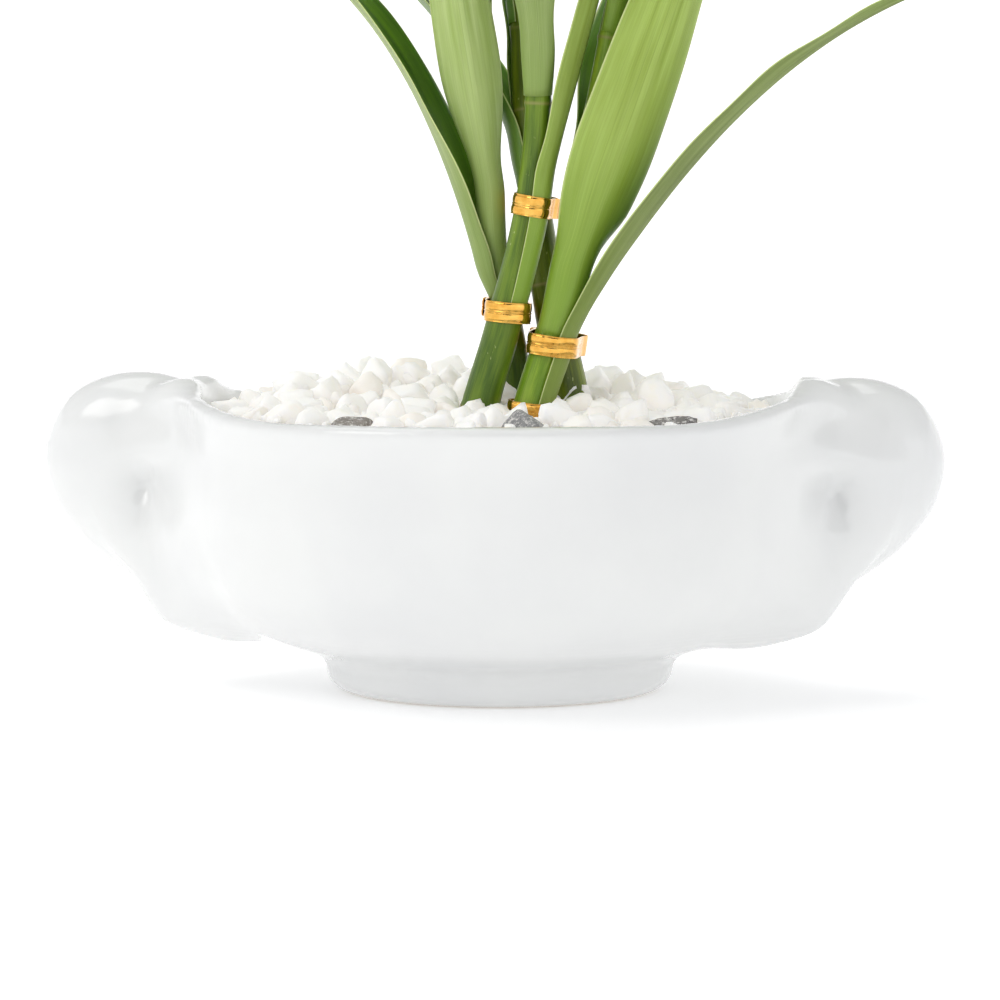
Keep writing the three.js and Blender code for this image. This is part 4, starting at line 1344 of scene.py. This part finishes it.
def band_line(first, second, height, tilt):
    """Places and outward directions round two stalks, and the strip's own up."""
    up = np.array([math.sin(math.radians(tilt[0])), math.sin(math.radians(tilt[1])), 1])
    up /= np.linalg.norm(up)
    right = outward_from(up, 0)
    away = np.cross(up, right)
    middle = (canes[first].at(height)[0] + canes[second].at(height)[0]) / 2
    touched = []
    turn = np.linspace(0, 2 * np.pi, 65)

    def arc(key, radius, angles):
        for level in (-0.6 * BAND_TALL, 0, 0.6 * BAND_TALL):
            offset = canes[key].at(height + level)[0] - middle
            x, y = offset @ right, offset @ away
            touched.extend(zip(x + radius * np.cos(angles), y + radius * np.sin(angles)))

    for key in (first, second):
        radius = canes[key].at(height)[2]
        arc(key, radius + BAND_GAP, turn)
        for leaf in leaf_rows:
            stands_off = leaf.outside(height) or leaf.outside(height + BAND_TALL / 2)
            if leaf.cane is canes[key] and stands_off:
                angles = math.radians(leaf.azimuth) + np.linspace(-leaf.wrap, leaf.wrap, 33)
                arc(key, radius + stands_off + BAND_GAP, angles)
    corners = tight_outline(touched)
    closed = np.concatenate([corners, corners[:1]])
    length = np.concatenate([[0], np.cumsum(np.linalg.norm(np.diff(closed, axis=0), axis=1))])
    way = np.linspace(0, length[-1], LINE_STEPS, endpoint=False)
    line = np.stack([np.interp(way, length, closed[:, i]) for i in range(2)], 1)
    reach = round(STIFF * LINE_STEPS / length[-1])
    line = sum(np.roll(line, k, axis=0) for k in range(-reach, reach + 1)) / (2 * reach + 1)
    return middle, right, away, up, line


upper_line = band_line(*BANDS["upper"])[-1]
print("upper strip is", np.round(np.ptp(upper_line, axis=0), 1).tolist(), "mm across and deep")


# %% [markdown]
# The strip's section then runs once round that line and a little further, so that its ends overlap.
# The outer end climbs over the inner one, and each strip is pressed smooth for a short stretch.

# %% Strips
# In mm: how far the metal's outside stands off the line and its inside lies under that, how far the
# outer end climbs over the inner one, and where the smooth stretch lies.
STRIP_OUT = 0.3
METAL = 0.26
CLIMB = 0.75
PLAIN_OUT = 0.42
PLAIN_IN = 0.13
# As shares: how smooth that stretch is and how soon it starts, how much the ends narrow, and where on
# the way round the lobe is and half its length.
PLAIN_SHARE = 0.8
PLAIN_FADE = 0.04
NARROW_END = 0.14
LOBE_AT = 0.47
LOBE_HALF = 0.05


def strip_profile():
    """The strip's section as (out, up) pairs in mm: two soft bulges, a fine ridge and rolled edges."""
    high = np.linspace(-0.5, 0.5, 41)
    bulge = 0.22 * np.sqrt(np.clip(1 - ((np.abs(high) - 0.25) / 0.21) ** 2, 0, 1))
    ridge = 0.3 * np.exp(-(high / 0.03) ** 2)
    edge = 0.24 * smoothstep(np.abs(high), 0.45, 0.5)
    return np.stack([STRIP_OUT + bulge + ridge + edge, high * BAND_TALL], 1)


def strip(name, first, second, height, tilt, start, flare, plain, lobe):
    """A strip once round its stalks. Its ends overlap at start, a share of the way round from the left
    along the front; flare is how far the outer end stands off, in mm. Between the two shares in plain
    it is smooth, and at the right it stands off by lobe mm."""
    middle, right, away, up, line = band_line(first, second, height, tilt)
    shares = np.linspace(start, start + 1 + OVERLAP, BAND_STEPS)
    profile = strip_profile()
    loop = np.concatenate([profile, profile[::-1] - (METAL, 0)])
    steps = np.arange(LINE_STEPS + 1)
    ring = np.concatenate([line, line[:1]])
    points = []
    for k, share in enumerate(shares):
        way = (share % 1) * LINE_STEPS
        place, ahead, behind = (
            np.array([np.interp((way + d) % LINE_STEPS, steps, ring[:, i]) for i in range(2)])
            for d in (0, 4, -4)
        )
        heading = (ahead - behind) / np.linalg.norm(ahead - behind)
        outward = right * heading[1] - away * heading[0]
        done = (share - start) / (1 + OVERLAP)
        stands_off = CLIMB * smoothstep(done, 1 - 1.7 * OVERLAP, 1 - 0.9 * OVERLAP)
        stands_off += flare * smoothstep(done, 1 - 0.8 * OVERLAP, 1) ** 2
        at = share % 1
        stands_off += lobe * math.exp(-((at - LOBE_AT) / LOBE_HALF) ** 2)
        end = min(k, BAND_STEPS - 1 - k)
        narrow = 1 - NARROW_END * (1 - smoothstep(end, 0, 5))
        fade = [smoothstep(at, edge, edge + PLAIN_FADE) for edge in plain]
        plainness = PLAIN_SHARE * fade[0] * (1 - fade[1])
        on_line = middle + right * place[0] + away * place[1]
        for out, high in loop:
            plain_out = PLAIN_OUT - (PLAIN_IN if out < STRIP_OUT else 0)
            off = out * (1 - plainness) + plain_out * plainness + stands_off
            points.append(on_line + outward * off + up * high * narrow)
    sides = len(loop)
    faces = ring_faces(BAND_STEPS, sides)
    faces.append(tuple(range(sides))[::-1])
    faces.append(tuple(range((BAND_STEPS - 1) * sides, BAND_STEPS * sides)))
    return mesh_object(f"gold_strip_{name}", planted(points), faces)


# Where each strip starts, its flare, where it is plain, and its lobe.
ENDS = {
    "upper": (0.41, 1.1, (0.3, 0.56), 0.25),
    "middle": (0.68, 0.3, (0.4, 0.6), 0.1),
    "lower": (0.68, 0.3, (0.36, 0.6), 0.8),
    "foot": (0.68, 0.3, (0.4, 0.6), 0.1),
}
strips = {name: strip(name, *row, *ENDS[name]) for name, row in BANDS.items()}
print("strips:", {name: len(piece.data.polygons) for name, piece in strips.items()})

# %% [markdown]
# The gold is a thin bright plating. It mirrors the room, softened a little by the rolling marks that
# run along the strip, and it is a shade browner where it is worn.

# %% Gold
DEEP_GOLD = (214, 156, 66)
PALE_GOLD = (236, 188, 96)

gold, tree, shader = finish("gold_plate", Metallic=1.0)
place = own_place(tree)
worn = grain(tree, place, 500, 3)
plating = ramp(tree, worn, (0.3, tint(*DEEP_GOLD)), (0.7, tint(*PALE_GOLD)))
feed(tree, shader, Base_Color=plating, Roughness=stretch(tree, worn, 0.3, 0.7, 0.07, 0.16))
rolled = grain(tree, scaled(tree, place, 0.25, 0.25, 3), 2400, 2)
raised(tree, shader, rolled, 0.02, 0.3, raised(tree, shader, grain(tree, place, 260, 2), 0.15, 0.4))
for name, piece in strips.items():
    dressed(piece, [f"gold_band_{name}"], "gold", gold)
print("gold on", len(strips), "strips")
